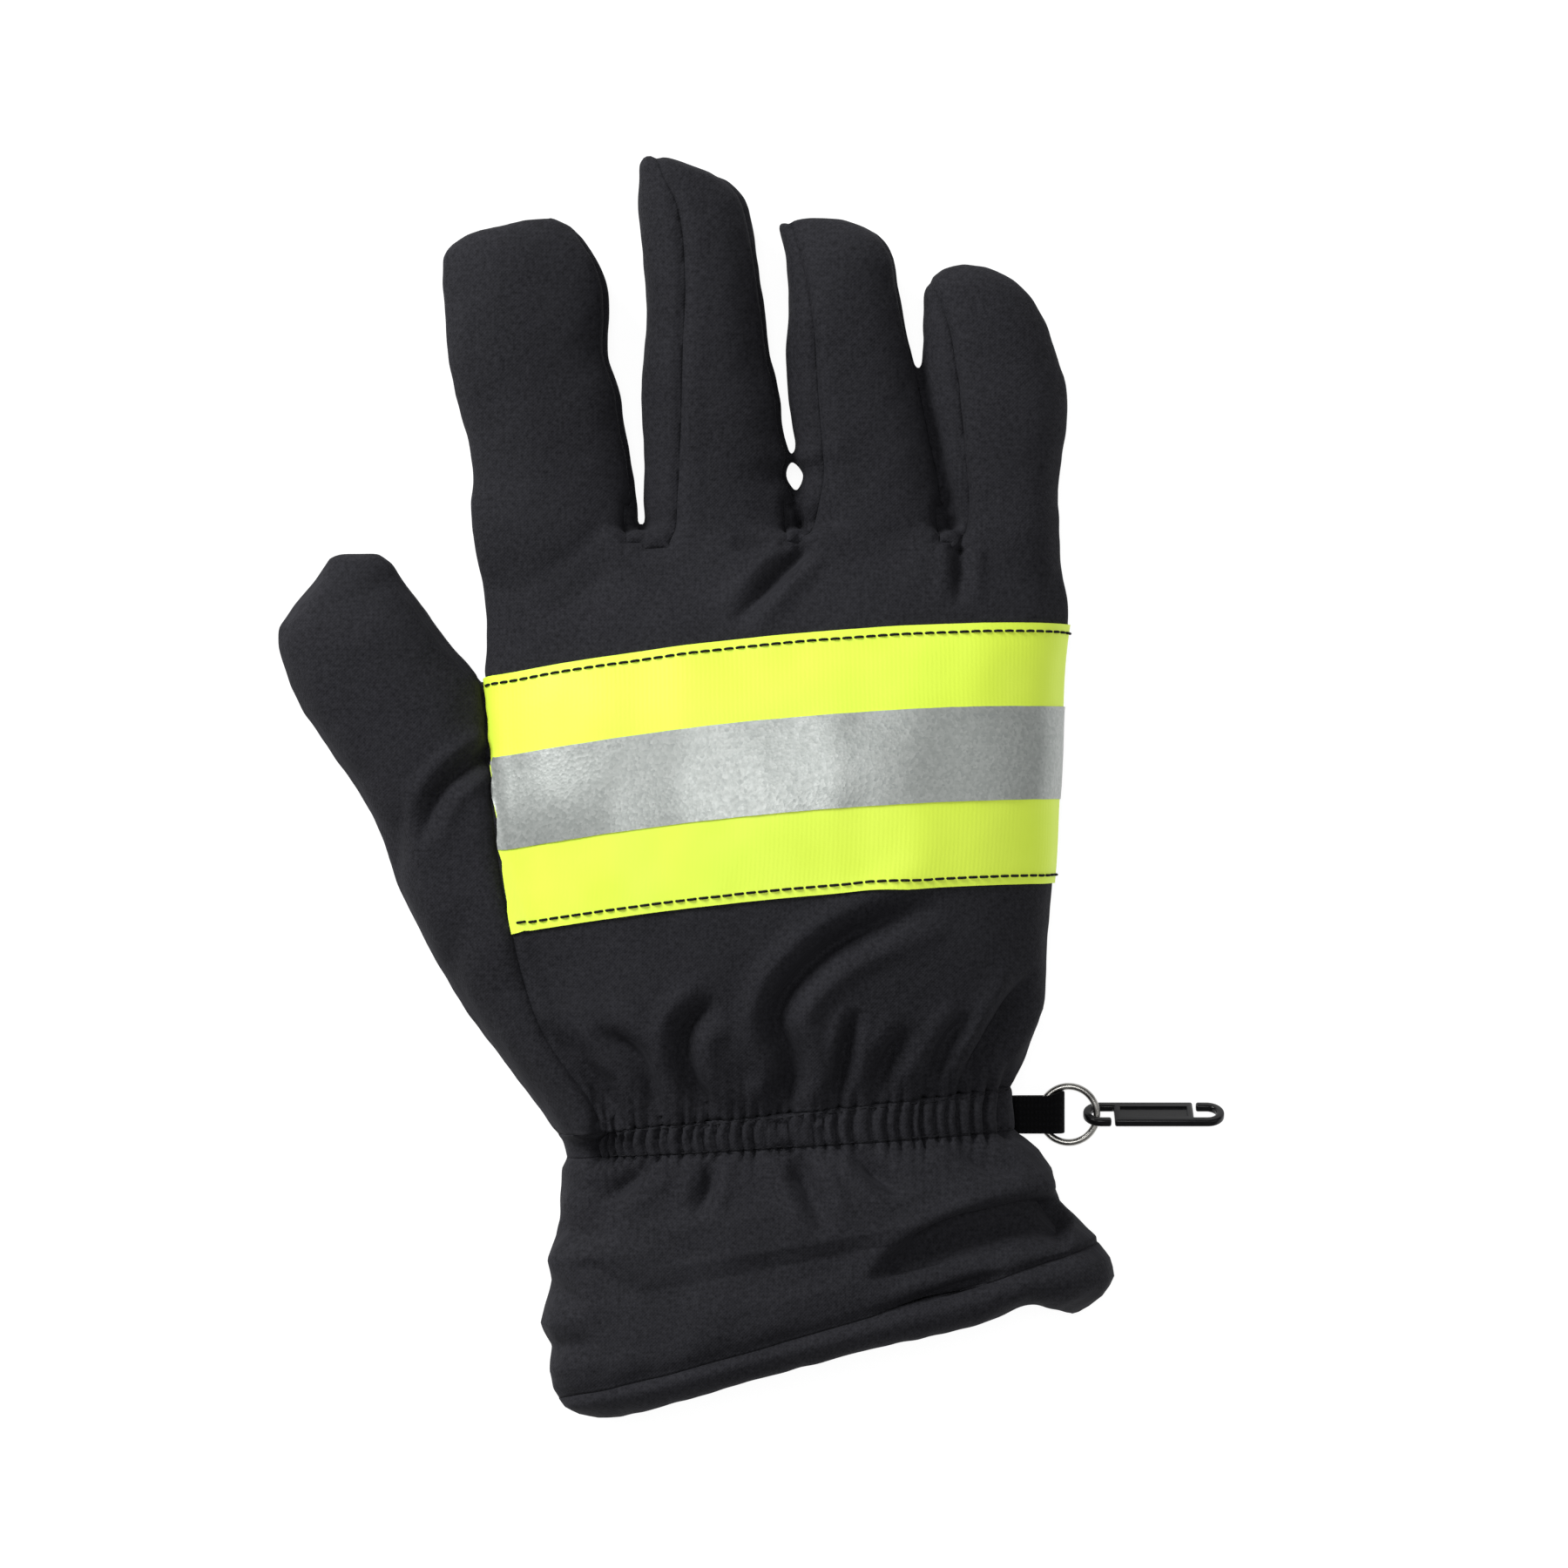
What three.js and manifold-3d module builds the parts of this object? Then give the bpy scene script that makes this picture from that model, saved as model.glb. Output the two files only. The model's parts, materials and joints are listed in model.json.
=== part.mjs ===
// Firefighter glove for a right hand, lying on its palm with its back up.
// Millimetres. +X points to the little finger's side, +Y to the fingertips, +Z up from the surface.
// The origin is on the surface, under the middle of the palm.

import * as THREE from 'three';
import * as BufferGeometryUtils from 'three/addons/utils/BufferGeometryUtils.js';
import Module from 'manifold-3d';

const wasm = await Module();
wasm.setup();

// Cloth and clearances
const wall = 2.6; // outer cloth, membrane and lining, worn as one padded layer
const gap = 0.3; // clearance between neighbouring pieces
const restFlat = 0.5; // how far the soft underside is pressed flat where it rests

// Hand
const palmWidth = 117; // across the knuckles
const handLength = 116; // from the wrist band to the finger crotches
const handDepth = 34; // height of the back above the surface
const wristWidth = 90.5; // across the wrist band
const wristDepth = 27; // height of the wrist above the surface

// Fingers, measured from the crotch line to the tip
const fingerDepth = 21;
const fingerRoot = 12; // how far a finger's tube runs on into the hand
const indexLength = 63;
const indexWidth = 33.2;
const middleLength = 75.7;
const middleWidth = 30;
const ringLength = 63.3;
const ringWidth = 29;
const littleLength = 53.3;
const littleWidth = 28;

// Thumb, measured from the heel of the hand to the tip
const thumbLength = 107.5;
const thumbWidth = 34;
const thumbDepth = 25;
const thumbLean = 23.2; // degrees to the left of the fingers' direction

// Wrist band, cuff and hem
const bandHeight = 6.6;
const bandPleats = 16; // small pleats over the back of the band
const pleatDepth = 1;
const cuffLength = 38;
const cuffWidth = 108;
const cuffDepth = 34;
const hemHeight = 8.2;
const hemRise = 0.8; // the turned hem stands this much proud of the cuff
const wristTilt = 5.9; // degrees between each edge and the X axis
const bandTilt = 3.5;
const hemTilt = 16.2;
const mouthTilt = 14;

// Folds in the cloth
const foldDepth = 2.6;
const foldWidth = 3.6;

// Reflective tape on the back
const tapeWidth = 51.8;
const tapeThickness = 0.5;
const tapeTilt = 5.4;
const tapeArch = 2.7; // how far the tape bows towards the fingers over the hand
const stripeWidth = 18.5;
const stripeThickness = 0.4;

// Webbing loop, ring and snap clip at the wrist
const strapWidth = 7.6;
const strapThickness = 1.2;
const strapReach = 11.1; // from the wrist to the loop's fold
const strapSlack = 3; // free room between the ring's wire and the fold
const ringDiameter = 12.8;
const ringWire = 1.4;
const clipLength = 28.6;
const clipWidth = 7;
const clipWire = 1.6;
const clipHook = 4.7; // length of each hook's opening
const clipMouth = 0.7;
const clipRoll = 60; // degrees that the clip leans over where it lies
const hookClearance = 0.5;

// Places that follow from the sizes above
const originShare = 0.564; // the origin's place along the hand, from the wrist
const seamHeight = fingerDepth / 2 - restFlat; // the side seams run at this height
const palmHalf = palmWidth / 2;
const wristHalf = wristWidth / 2;
const cuffHalf = cuffWidth / 2;
const wristLine = -originShare * handLength;
const crotchLine = wristLine + handLength;
const bandTop = wristLine - gap;
const bandFoot = bandTop - bandHeight;
const cuffTop = bandFoot - gap;
const cuffFoot = cuffTop - cuffLength;
const hemTop = cuffFoot - gap;
const beyond = 2 * (handLength + middleLength); // further out than any piece

const slopeOf = (degrees) => Math.tan(THREE.MathUtils.degToRad(degrees));
const mix = THREE.MathUtils.lerp;

// Cross-sections of the hand from the wrist, along 0, to the finger crotches, along 1.
// left and right are shares of half the named width, top of the hand's depth, tilt of the wrist's.
const handRows = [
  { along: -0.04, of: wristHalf, left: -0.955, right: 1.045, top: 0.79, tilt: 1 },
  { along: 0, of: wristHalf, left: -0.955, right: 1.045, top: 0.8, tilt: 1 },
  { along: 0.047, of: wristHalf, left: -1.03, right: 1.11, top: 0.84, tilt: 1 },
  { along: 0.12, of: palmHalf, left: -0.86, right: 0.912, top: 0.91, tilt: 1 },
  { along: 0.25, of: palmHalf, left: -0.95, right: 0.94, top: 0.98, tilt: 0.98 },
  { along: 0.39, of: palmHalf, left: -1.017, right: 0.969, top: 1, tilt: 0.96 },
  { along: 0.55, of: palmHalf, left: -1.045, right: 0.99, top: 1, tilt: 0.96 },
  { along: 0.71, of: palmHalf, left: -1.01, right: 1.005, top: 0.94, tilt: 0.94 },
  { along: 0.84, of: palmHalf, left: -0.997, right: 1.009, top: 0.83, tilt: 0.56 },
  { along: 0.94, of: palmHalf, left: -1.017, right: 0.985, top: 0.7, tilt: 0.2 },
  { along: 1, of: palmHalf, left: -1.046, right: 0.978, top: 0.62, tilt: 0 },
];

// Cross-sections of the cuff from the band, along 0, to the hem, along 1; top is a share of its depth.
const cuffRows = [
  { along: 0, of: wristHalf, left: -0.93, right: 1.06, top: 0.8 },
  { along: 0.16, of: cuffHalf, left: -0.787, right: 0.965, top: 0.86 },
  { along: 0.34, of: cuffHalf, left: -0.8, right: 1.03, top: 0.94 },
  { along: 0.5, of: cuffHalf, left: -0.835, right: 1.055, top: 0.97 },
  { along: 0.62, of: cuffHalf, left: -0.84, right: 1.05, top: 0.93 },
  { along: 0.8, of: cuffHalf, left: -0.835, right: 1.13, top: 0.99 },
  { along: 1, of: cuffHalf, left: -0.796, right: 1.198, top: 0.98 },
];

// Cross-sections of the hem from its stitch line, along 0, to the mouth, along 1.
const hemRows = [
  { along: 0, left: -0.796, right: 1.198, top: 0.98 },
  { along: 0.33, left: -0.752, right: 1.237, top: 0.99 },
  { along: 0.67, left: -0.717, right: 1.257, top: 0.96 },
  { along: 1, left: -0.635, right: 1.237, top: 0.9 },
];

// Creases pressed into the back of the hand. x is a share of half the palm's width, y of the hand's
// length from the wrist, and depth of the fold depth.
const handFolds = [
  { fromX: 0.1, fromY: 0.96, toX: -0.15, toY: 0.83, depth: 0.9 },
  { fromX: -0.53, fromY: 0.94, toX: -0.8, toY: 0.84, depth: 0.4 },
  { fromX: 0.63, fromY: 0.98, toX: 0.63, toY: 0.89, depth: 0.7 },
  { fromX: 0.57, fromY: 0.36, toX: 0.21, toY: 0.3, depth: 0.5 },
  { fromX: 0.21, fromY: 0.3, toX: 0, toY: 0.14, depth: 0.9 },
  { fromX: 0, fromY: 0.14, toX: 0.03, toY: -0.02, depth: 1 },
  { fromX: -0.2, fromY: 0.19, toX: -0.25, toY: -0.02, depth: 0.9 },
  { fromX: -0.6, fromY: 0.13, toX: -0.42, toY: -0.02, depth: 0.8 },
  { fromX: 0.28, fromY: 0.18, toX: 0.2, toY: -0.02, depth: 0.9 },
  { fromX: 0.44, fromY: 0.12, toX: 0.37, toY: -0.02, depth: 0.8 },
  { fromX: 0.63, fromY: 0.16, toX: 0.52, toY: -0.02, depth: 0.9 },
  { fromX: 0.84, fromY: 0.23, toX: 0.66, toY: 0, depth: 0.9 },
];

// Creases in the cuff. x is a share of half the cuff's width, y of its length from the band.
const cuffFolds = [
  { fromX: -0.25, fromY: 0, toX: -0.28, toY: 0.27, depth: 0.7 },
  { fromX: 0.08, fromY: 0, toX: 0.18, toY: 0.45, depth: 0.8 },
  { fromX: 0.28, fromY: 0, toX: 0.48, toY: 0.3, depth: 0.7 },
  { fromX: -0.55, fromY: 0, toX: -0.64, toY: 0.17, depth: 0.6 },
  { fromX: 1.05, fromY: 0.55, toX: 0.75, toY: 0.5, depth: 1.2 },
  { fromX: 0.75, fromY: 0.5, toX: 0.5, toY: 0.57, depth: 1.2 },
  { fromX: 0.5, fromY: 0.57, toX: 0.33, toY: 0.82, depth: 0.9 },
];

// Each finger: where its axis crosses the crotch line as a share of half the palm's width, how it
// leans in degrees, which of its walls are sewn-in side strips, and its cross-sections from the
// crotch, along 0, to the tip. left and right are shares of half its width, depth of its depth.
const fingers = {
  index: {
    at: -0.757,
    lean: 7.5,
    length: indexLength,
    width: indexWidth,
    rows: [
      { along: 0, left: 1.01, right: 1.01, depth: 1 },
      { along: 0.2, left: 0.92, right: 1.02, depth: 1 },
      { along: 0.5, left: 0.99, right: 0.92, depth: 1 },
      { along: 0.72, left: 0.99, right: 1, depth: 0.98 },
      { along: 0.86, left: 0.93, right: 0.92, depth: 0.9 },
      { along: 0.95, left: 0.7, right: 0.76, depth: 0.7 },
      { along: 1, left: 0, right: 0.52, depth: 0.36 },
    ],
  },
  middle: {
    at: -0.19,
    lean: 5.2,
    length: middleLength,
    width: middleWidth,
    rows: [
      { along: 0, left: 0.977, right: 1.04, depth: 1 },
      { along: 0.2, left: 0.92, right: 1, depth: 1 },
      { along: 0.38, left: 0.88, right: 0.94, depth: 1 },
      { along: 0.6, left: 0.7, right: 0.83, depth: 1 },
      { along: 0.82, left: 0.695, right: 0.786, depth: 0.92 },
      { along: 0.93, left: 0.67, right: 0.5, depth: 0.75 },
      { along: 1, left: 0.5, right: -0.25, depth: 0.4 },
    ],
  },
  ring: {
    at: 0.361,
    lean: 8.5,
    length: ringLength,
    width: ringWidth,
    rows: [
      { along: 0, left: 1.02, right: 0.965, depth: 1 },
      { along: 0.25, left: 0.99, right: 0.92, depth: 1 },
      { along: 0.5, left: 0.94, right: 0.82, depth: 1 },
      { along: 0.72, left: 0.77, right: 0.74, depth: 0.98 },
      { along: 0.88, left: 0.736, right: 0.71, depth: 0.88 },
      { along: 0.95, left: 0.74, right: 0.5, depth: 0.7 },
      { along: 1, left: 0.5, right: 0, depth: 0.4 },
    ],
  },
  little: {
    at: 0.8,
    lean: 5.5,
    length: littleLength,
    width: littleWidth,
    rows: [
      { along: 0, left: 0.79, right: 0.74, depth: 1 },
      { along: 0.25, left: 0.84, right: 0.86, depth: 1 },
      { along: 0.45, left: 0.92, right: 1.01, depth: 1 },
      { along: 0.64, left: 0.98, right: 0.98, depth: 0.98 },
      { along: 0.78, left: 0.9, right: 0.86, depth: 0.92 },
      { along: 0.92, left: 0.82, right: 0.56, depth: 0.74 },
      { along: 1, left: 0.4, right: 0, depth: 0.4 },
    ],
  },
};

// The thumb's axis starts in the heel of the hand: x is a share of half the palm's width, y of the
// hand's length from the wrist. Its cross-sections run from the wrist to the tip.
const thumbHeel = { x: -0.793, y: 0.112 };
const thumbRows = [
  { along: -0.24, left: 0.12, right: 0.6, depth: 1 },
  { along: -0.12, left: 0.32, right: 0.75, depth: 1.03 },
  { along: 0.04, left: 0.56, right: 0.85, depth: 1.06 },
  { along: 0.2, left: 0.76, right: 0.89, depth: 1.08 },
  { along: 0.4, left: 0.8, right: 0.9, depth: 1.06 },
  { along: 0.57, left: 0.78, right: 0.95, depth: 1.02 },
  { along: 0.67, left: 0.96, right: 0.98, depth: 1 },
  { along: 0.76, left: 1.06, right: 0.86, depth: 1 },
  { along: 0.9, left: 0.96, right: 0.62, depth: 0.86 },
  { along: 0.96, left: 0.45, right: 0.56, depth: 0.68 },
  { along: 1, left: -0.02, right: 0.14, depth: 0.4 },
];

// The seam between the back panel and the thumb's gore, from above the thumb's crotch to the wrist.
// x is a share of half the palm's width, y of the hand's length from the wrist.
const thumbSeam = [
  { x: -1.3, y: 1.75 },
  { x: -1.2, y: 1.05 },
  { x: -1.1, y: 0.9 },
  { x: -1.05, y: 0.81 },
  { x: -0.993, y: 0.738 },
  { x: -0.973, y: 0.61 },
  { x: -0.951, y: 0.474 },
  { x: -0.889, y: 0.305 },
  { x: -0.85, y: 0.22 },
  { x: -0.796, y: 0.139 },
  { x: -0.697, y: 0.067 },
  { x: -0.6, y: 0.01 },
  { x: -0.55, y: -0.1 },
];

// Where the sewn-in strips meet the back and the palm, as angles in degrees round a finger's
// section, with 0 on the little finger's side and 90 on the back, at the crotch and at the tip.
const stripSeams = {
  left: { back: { crotch: 118, tip: 158 }, palm: { crotch: 208, tip: 196 } },
  right: { back: { crotch: 12, tip: 8 }, palm: { crotch: -62, tip: -14 } },
};

const stripEnd = 0.94; // the strips taper out this far up a finger

// A closed three.js geometry as a solid that can be joined and cut.
function solidOf(geometry) {
  const bare = geometry.clone();
  bare.deleteAttribute('normal');
  bare.deleteAttribute('uv');
  const merged = BufferGeometryUtils.mergeVertices(bare, 1e-4);
  const mesh = new wasm.Mesh({
    numProp: 3,
    vertProperties: new Float32Array(merged.attributes.position.array),
    triVerts: new Uint32Array(merged.index.array),
  });
  return new wasm.Manifold(mesh);
}

function geometryOf(solid) {
  const { vertProperties, triVerts } = solid.getMesh();
  const geometry = new THREE.BufferGeometry();
  geometry.setAttribute('position', new THREE.BufferAttribute(vertProperties, 3));
  geometry.setIndex(new THREE.BufferAttribute(triVerts, 1));
  geometry.computeVertexNormals();
  return geometry;
}

const joined = (solids) => solids.reduce((all, one) => all.add(one));

// Triangles with their faces turned outwards, whichever way round their rings ran.
function facingOut(points, triangles) {
  let volume = 0;
  for (let i = 0; i < triangles.length; i += 3) {
    const [a, b, c] = [points[triangles[i]], points[triangles[i + 1]], points[triangles[i + 2]]];
    volume += a.dot(new THREE.Vector3().crossVectors(b, c));
  }
  const geometry = new THREE.BufferGeometry().setFromPoints(points);
  geometry.setIndex(volume < 0 ? triangles.slice().reverse() : triangles);
  geometry.computeVertexNormals();
  return geometry;
}

// Triangles of the band between each ring and the next; wrapped also joins the last to the first.
function bandsBetween(rings, wrapped) {
  const count = rings[0].length;
  const triangles = [];
  const bands = wrapped ? rings.length : rings.length - 1;
  for (let r = 0; r < bands; r += 1) {
    const here = r * count;
    const next = ((r + 1) % rings.length) * count;
    for (let i = 0; i < count; i += 1) {
      const j = (i + 1) % count;
      triangles.push(here + i, here + j, next + j);
      triangles.push(here + i, next + j, next + i);
    }
  }
  return triangles;
}

// A solid form through a row of rings, closed at both ends.
function loft(rings) {
  const count = rings[0].length;
  const points = rings.flat();
  const triangles = bandsBetween(rings, false);
  const ends = [
    { ring: rings[0], start: 0, turned: true },
    { ring: rings[rings.length - 1], start: (rings.length - 1) * count, turned: false },
  ];
  for (const { ring, start, turned } of ends) {
    const centre = ring.reduce((sum, p) => sum.add(p), new THREE.Vector3()).divideScalar(count);
    points.push(centre);
    for (let i = 0; i < count; i += 1) {
      const a = start + i;
      const b = start + ((i + 1) % count);
      triangles.push(...(turned ? [points.length - 1, b, a] : [points.length - 1, a, b]));
    }
  }
  return facingOut(points, triangles);
}

// An open sleeve with an outer and an inner surface and two ring-shaped ends.
function sleeve(outer, inner) {
  const rings = [...outer, ...inner.slice().reverse()];
  return facingOut(rings.flat(), bandsBetween(rings, true));
}

// An upright prism over an outline seen from above.
function prism(outline, bottom, top) {
  const shape = new THREE.Shape(outline.map(([x, y]) => new THREE.Vector2(x, y)));
  const geometry = new THREE.ExtrudeGeometry(shape, { depth: top - bottom, bevelEnabled: false });
  return solidOf(geometry.translate(0, 0, bottom));
}

// Angles round a section: over the back from the little finger's side, then home under the palm.
function turns(backSteps, palmSteps) {
  const angles = [];
  for (let i = 0; i < backSteps; i += 1) angles.push((Math.PI * i) / backSteps);
  for (let i = 0; i < palmSteps; i += 1) angles.push(Math.PI * (1 + i / palmSteps));
  return angles;
}

// A section with an arched back and a flatter palm side, about the seam's height.
const archPower = 2.35;
const palmPower = 3.2;
function sectionOutline({ left, right, over, under, round }, angles) {
  return angles.map((angle) => {
    const c = Math.cos(angle);
    const s = Math.sin(angle);
    const power = 2 / (round ?? (s >= 0 ? archPower : palmPower));
    const across = (left + right) / 2 + ((right - left) / 2) * Math.sign(c) * Math.abs(c) ** power;
    const rise = Math.abs(s) ** power * (s >= 0 ? over : -under);
    return new THREE.Vector2(across, seamHeight + rise);
  });
}

// Moves each corner of an outline inwards, square to its two sides, by that corner's distance.
function insetOutline(outline, distances) {
  const count = outline.length;
  return outline.map((corner, i) => {
    const before = outline[(i + count - 1) % count];
    const after = outline[(i + 1) % count];
    const first = corner.clone().sub(before).normalize();
    const second = after.clone().sub(corner).normalize();
    const inwards = new THREE.Vector2(-first.y - second.y, first.x + second.x).normalize();
    const facing = Math.max(0.6, inwards.x * -first.y + inwards.y * first.x);
    return corner.clone().addScaledVector(inwards, distances[i] / facing);
  });
}

// How far small pleats draw each corner of a section in, over its back alone.
function pleated(angles, depth, pleats) {
  return angles.map((angle) => {
    const share = angle / Math.PI;
    return share < 1 ? (depth / 2) * (1 - Math.cos(2 * Math.PI * pleats * share)) : 0;
  });
}

// How deep the creases press into the cloth at a place seen from above.
function creaseAt(x, y, creases) {
  let depth = 0;
  for (const crease of creases) {
    const along = new THREE.Vector2().subVectors(crease.to, crease.from);
    const reach = new THREE.Vector2(x, y).sub(crease.from);
    const share = THREE.MathUtils.clamp(reach.dot(along) / along.lengthSq(), 0, 1);
    const away = reach.addScaledVector(along, -share).length() / foldWidth;
    depth = Math.max(depth, crease.depth * foldDepth * Math.exp(-away * away));
  }
  return depth;
}

// One ring of a sleeve that lies along Y: its outline, drawn in by inset, with its creases.
function sleeveRing(section, inset, angles, creases) {
  const pleats = pleated(angles, section.pleat ?? 0, bandPleats);
  const outline = insetOutline(sectionOutline(section, angles), pleats.map((p) => p + inset));
  return outline.map(({ x, y: height }) => {
    const y = section.y + section.slope * x;
    const upness = THREE.MathUtils.smoothstep(height, seamHeight, seamHeight + 2 * foldWidth);
    const pressed = height - upness * creaseAt(x, y, creases);
    return new THREE.Vector3(x, y, Math.max(pressed, inset));
  });
}

// The hand between the wrist and the crotches
const handTurns = turns(30, 8);
function handSection(row) {
  return {
    y: wristLine + row.along * handLength,
    slope: slopeOf(wristTilt) * row.tilt,
    left: row.left * row.of,
    right: row.right * row.of,
    over: row.top * (row.of === wristHalf ? wristDepth / 0.8 : handDepth) - seamHeight,
    under: seamHeight + restFlat,
  };
}
const handCreases = handFolds.map(({ fromX, fromY, toX, toY, depth }) => ({
  from: new THREE.Vector2(fromX * palmHalf, wristLine + fromY * handLength),
  to: new THREE.Vector2(toX * palmHalf, wristLine + toY * handLength),
  depth,
}));
function handLoft(inset) {
  const sections = handRows.map(handSection);
  const end = sections[sections.length - 1];
  end.y -= Math.max(inset, 0);
  return loft(sections.map((section) => sleeveRing(section, inset, handTurns, handCreases)));
}

// The cuff's, the band's and the hem's own sections
function cuffSection(row) {
  return {
    y: cuffTop - row.along * cuffLength,
    slope: mix(slopeOf(bandTilt), slopeOf(hemTilt), row.along),
    left: row.left * row.of,
    right: row.right * row.of,
    over: row.top * (row.of === wristHalf ? wristDepth / 0.8 : cuffDepth) - seamHeight,
    under: seamHeight + restFlat,
    pleat: pleatDepth * Math.max(0, 1 - 4 * row.along),
  };
}
const cuffCreases = cuffFolds.map(({ fromX, fromY, toX, toY, depth }) => {
  const place = (x, along) => {
    const { y, slope } = cuffSection({ along });
    return new THREE.Vector2(x * cuffHalf, y + slope * x * cuffHalf);
  };
  return { from: place(fromX, fromY), to: place(toX, toY), depth };
});

function bandSection(along) {
  return {
    y: bandTop - along * bandHeight,
    slope: mix(slopeOf(wristTilt), slopeOf(bandTilt), along),
    left: mix(-0.955, -0.93, along) * wristHalf,
    right: mix(1.045, 1.06, along) * wristHalf,
    over: wristDepth - seamHeight,
    under: seamHeight + restFlat,
    pleat: pleatDepth,
  };
}

function hemSection(row) {
  return {
    y: hemTop - row.along * hemHeight,
    slope: mix(slopeOf(hemTilt), slopeOf(mouthTilt), row.along),
    left: row.left * cuffHalf,
    right: row.right * cuffHalf,
    over: row.top * cuffDepth - seamHeight,
    under: seamHeight + restFlat,
  };
}

const sleeveRings = (sections, inset, angles, creases) =>
  sections.map((section) => sleeveRing(section, inset, angles, creases));

// A tube that lies in its own direction, such as a finger: where its axis starts, its half width
// and depth, and its rows.
function digitLoft(digit, inset, steps) {
  const angles = turns(steps, steps);
  const rings = digit.rows.map((row) => {
    const station = row.along * digit.length;
    const shortened = station > 0 ? (station * (digit.length - inset)) / digit.length : station;
    const half = Math.max(1, (row.depth * digit.depth) / 2);
    const outline = sectionOutline(
      {
        left: -row.left * digit.half,
        right: row.right * digit.half,
        over: Math.max(half, row.depth * digit.depth - seamHeight),
        under: Math.min(half, seamHeight + restFlat),
        round: digit.round,
      },
      angles,
    );
    const smallest = Math.min(inset, 0.4 * half, 0.3 * (row.left + row.right) * digit.half);
    const drawn = insetOutline(outline, angles.map(() => smallest));
    return drawn.map(({ x, y }) => digitPlace(digit, shortened, x, Math.max(y, inset)));
  });
  return loft(rings);
}

function digitPlace({ origin, lean }, station, across, height) {
  const turn = THREE.MathUtils.degToRad(lean);
  return new THREE.Vector3(
    origin.x - Math.sin(turn) * station + Math.cos(turn) * across,
    origin.y + Math.cos(turn) * station + Math.sin(turn) * across,
    height,
  );
}

function fingerDigit({ at, lean, length, width, rows }) {
  const root = { ...rows[0], along: -fingerRoot / length };
  return {
    origin: new THREE.Vector2(at * palmHalf, crotchLine),
    lean,
    length,
    half: width / 2,
    depth: fingerDepth,
    round: 2.2,
    rows: [root, ...rows],
  };
}

const digits = Object.fromEntries(
  Object.entries(fingers).map(([name, finger]) => [name, fingerDigit(finger)]),
);
const thumb = {
  origin: new THREE.Vector2(thumbHeel.x * palmHalf, wristLine + thumbHeel.y * handLength),
  lean: thumbLean,
  length: thumbLength,
  half: thumbWidth / 2,
  depth: thumbDepth,
  round: 2.2,
  rows: thumbRows,
};
const fingerSteps = 6; // facets over the back half of a finger
const thumbSteps = 7;
const liningSteps = 5; // facets over the back half of a finger's or the thumb's hollow

// The sewn-in strip along one wall of a finger, as a wedge from the finger's middle outwards,
// cut to the finger itself so that it never reaches the next one.
function stripWedge(digit, side, grown) {
  const seams = stripSeams[side];
  const inner = side === 'left' ? -0.1 : 0.1;
  const reach = 1.7;
  const first = digit.rows[1];
  const rows = digit.rows.filter(({ along }) => along >= 0 && along <= stripEnd);
  const rings = rows.map((row) => {
    const middle = ((row.right - row.left) / 2) * digit.half;
    const half = ((row.right + row.left) / 2) * digit.half;
    const depth = (row.depth * digit.depth) / 2;
    const turn = THREE.MathUtils.radToDeg(grown / depth);
    const back = mix(seams.back.crotch, seams.back.tip, row.along) + (side === 'left' ? -turn : turn);
    const palm = mix(seams.palm.crotch, seams.palm.tip, row.along) - (side === 'left' ? -turn : turn);
    const station = row.along * digit.length + (row === first ? -grown : grown);
    const at = (degrees) => {
      const angle = THREE.MathUtils.degToRad(degrees);
      const across = middle + reach * half * Math.cos(angle);
      return digitPlace(digit, station, across, seamHeight + reach * depth * Math.sin(angle));
    };
    const apex = middle + inner * half - Math.sign(inner) * grown;
    return [digitPlace(digit, station, apex, seamHeight), at(back), at((back + palm) / 2), at(palm)];
  });
  return solidOf(loft(rings)).intersect(solidOf(digitLoft(digit, -0.1, fingerSteps)));
}

// The whole strip between two fingers: down one wall, across the crotch and up the other.
const crotchHeight = 0.55; // how far the crotch's strip reaches over the seam, of half the depth
function stripRegion(first, second, grown) {
  const from = first.origin.x + 0.5 * first.half - grown;
  const to = second.origin.x - 0.5 * second.half + grown;
  const near = crotchLine - wall - gap - grown;
  const far = crotchLine + wall + grown;
  const outline = [[from, near], [to, near], [to, far], [from, far]];
  const top = seamHeight + (crotchHeight * fingerDepth) / 2 + grown;
  const crotch = prism(outline, wall + 2 * gap - grown, top);
  return joined([stripWedge(first, 'right', grown), stripWedge(second, 'left', grown), crotch]);
}

// The hollow hand in one piece, before it is cut into its panels
function handForm(inset) {
  const steps = inset > 0 ? { finger: liningSteps, thumb: liningSteps } : { finger: fingerSteps, thumb: thumbSteps };
  const tubes = Object.values(digits).map((digit) => solidOf(digitLoft(digit, inset, steps.finger)));
  return joined([solidOf(handLoft(inset)), solidOf(digitLoft(thumb, inset, steps.thumb)), ...tubes]);
}

const wristEdge = (x) => wristLine + slopeOf(wristTilt) * x;
const belowWrist = prism(
  [
    [-beyond, wristEdge(-beyond)],
    [-beyond, -beyond],
    [beyond, -beyond],
    [beyond, wristEdge(beyond)],
  ],
  -beyond,
  beyond,
);
const handShell = handForm(0).subtract(handForm(wall)).subtract(belowWrist);

const seamLine = thumbSeam.map(({ x, y }) => [x * palmHalf, wristLine + y * handLength]);

// A line seen from above, moved sideways; a positive distance goes to its left-hand side.
function shifted(line, distance) {
  return line.map(([x, y], i) => {
    const [ax, ay] = line[Math.max(0, i - 1)];
    const [bx, by] = line[Math.min(line.length - 1, i + 1)];
    const length = Math.hypot(bx - ax, by - ay);
    return [x - (distance * (by - ay)) / length, y + (distance * (bx - ax)) / length];
  });
}

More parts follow.
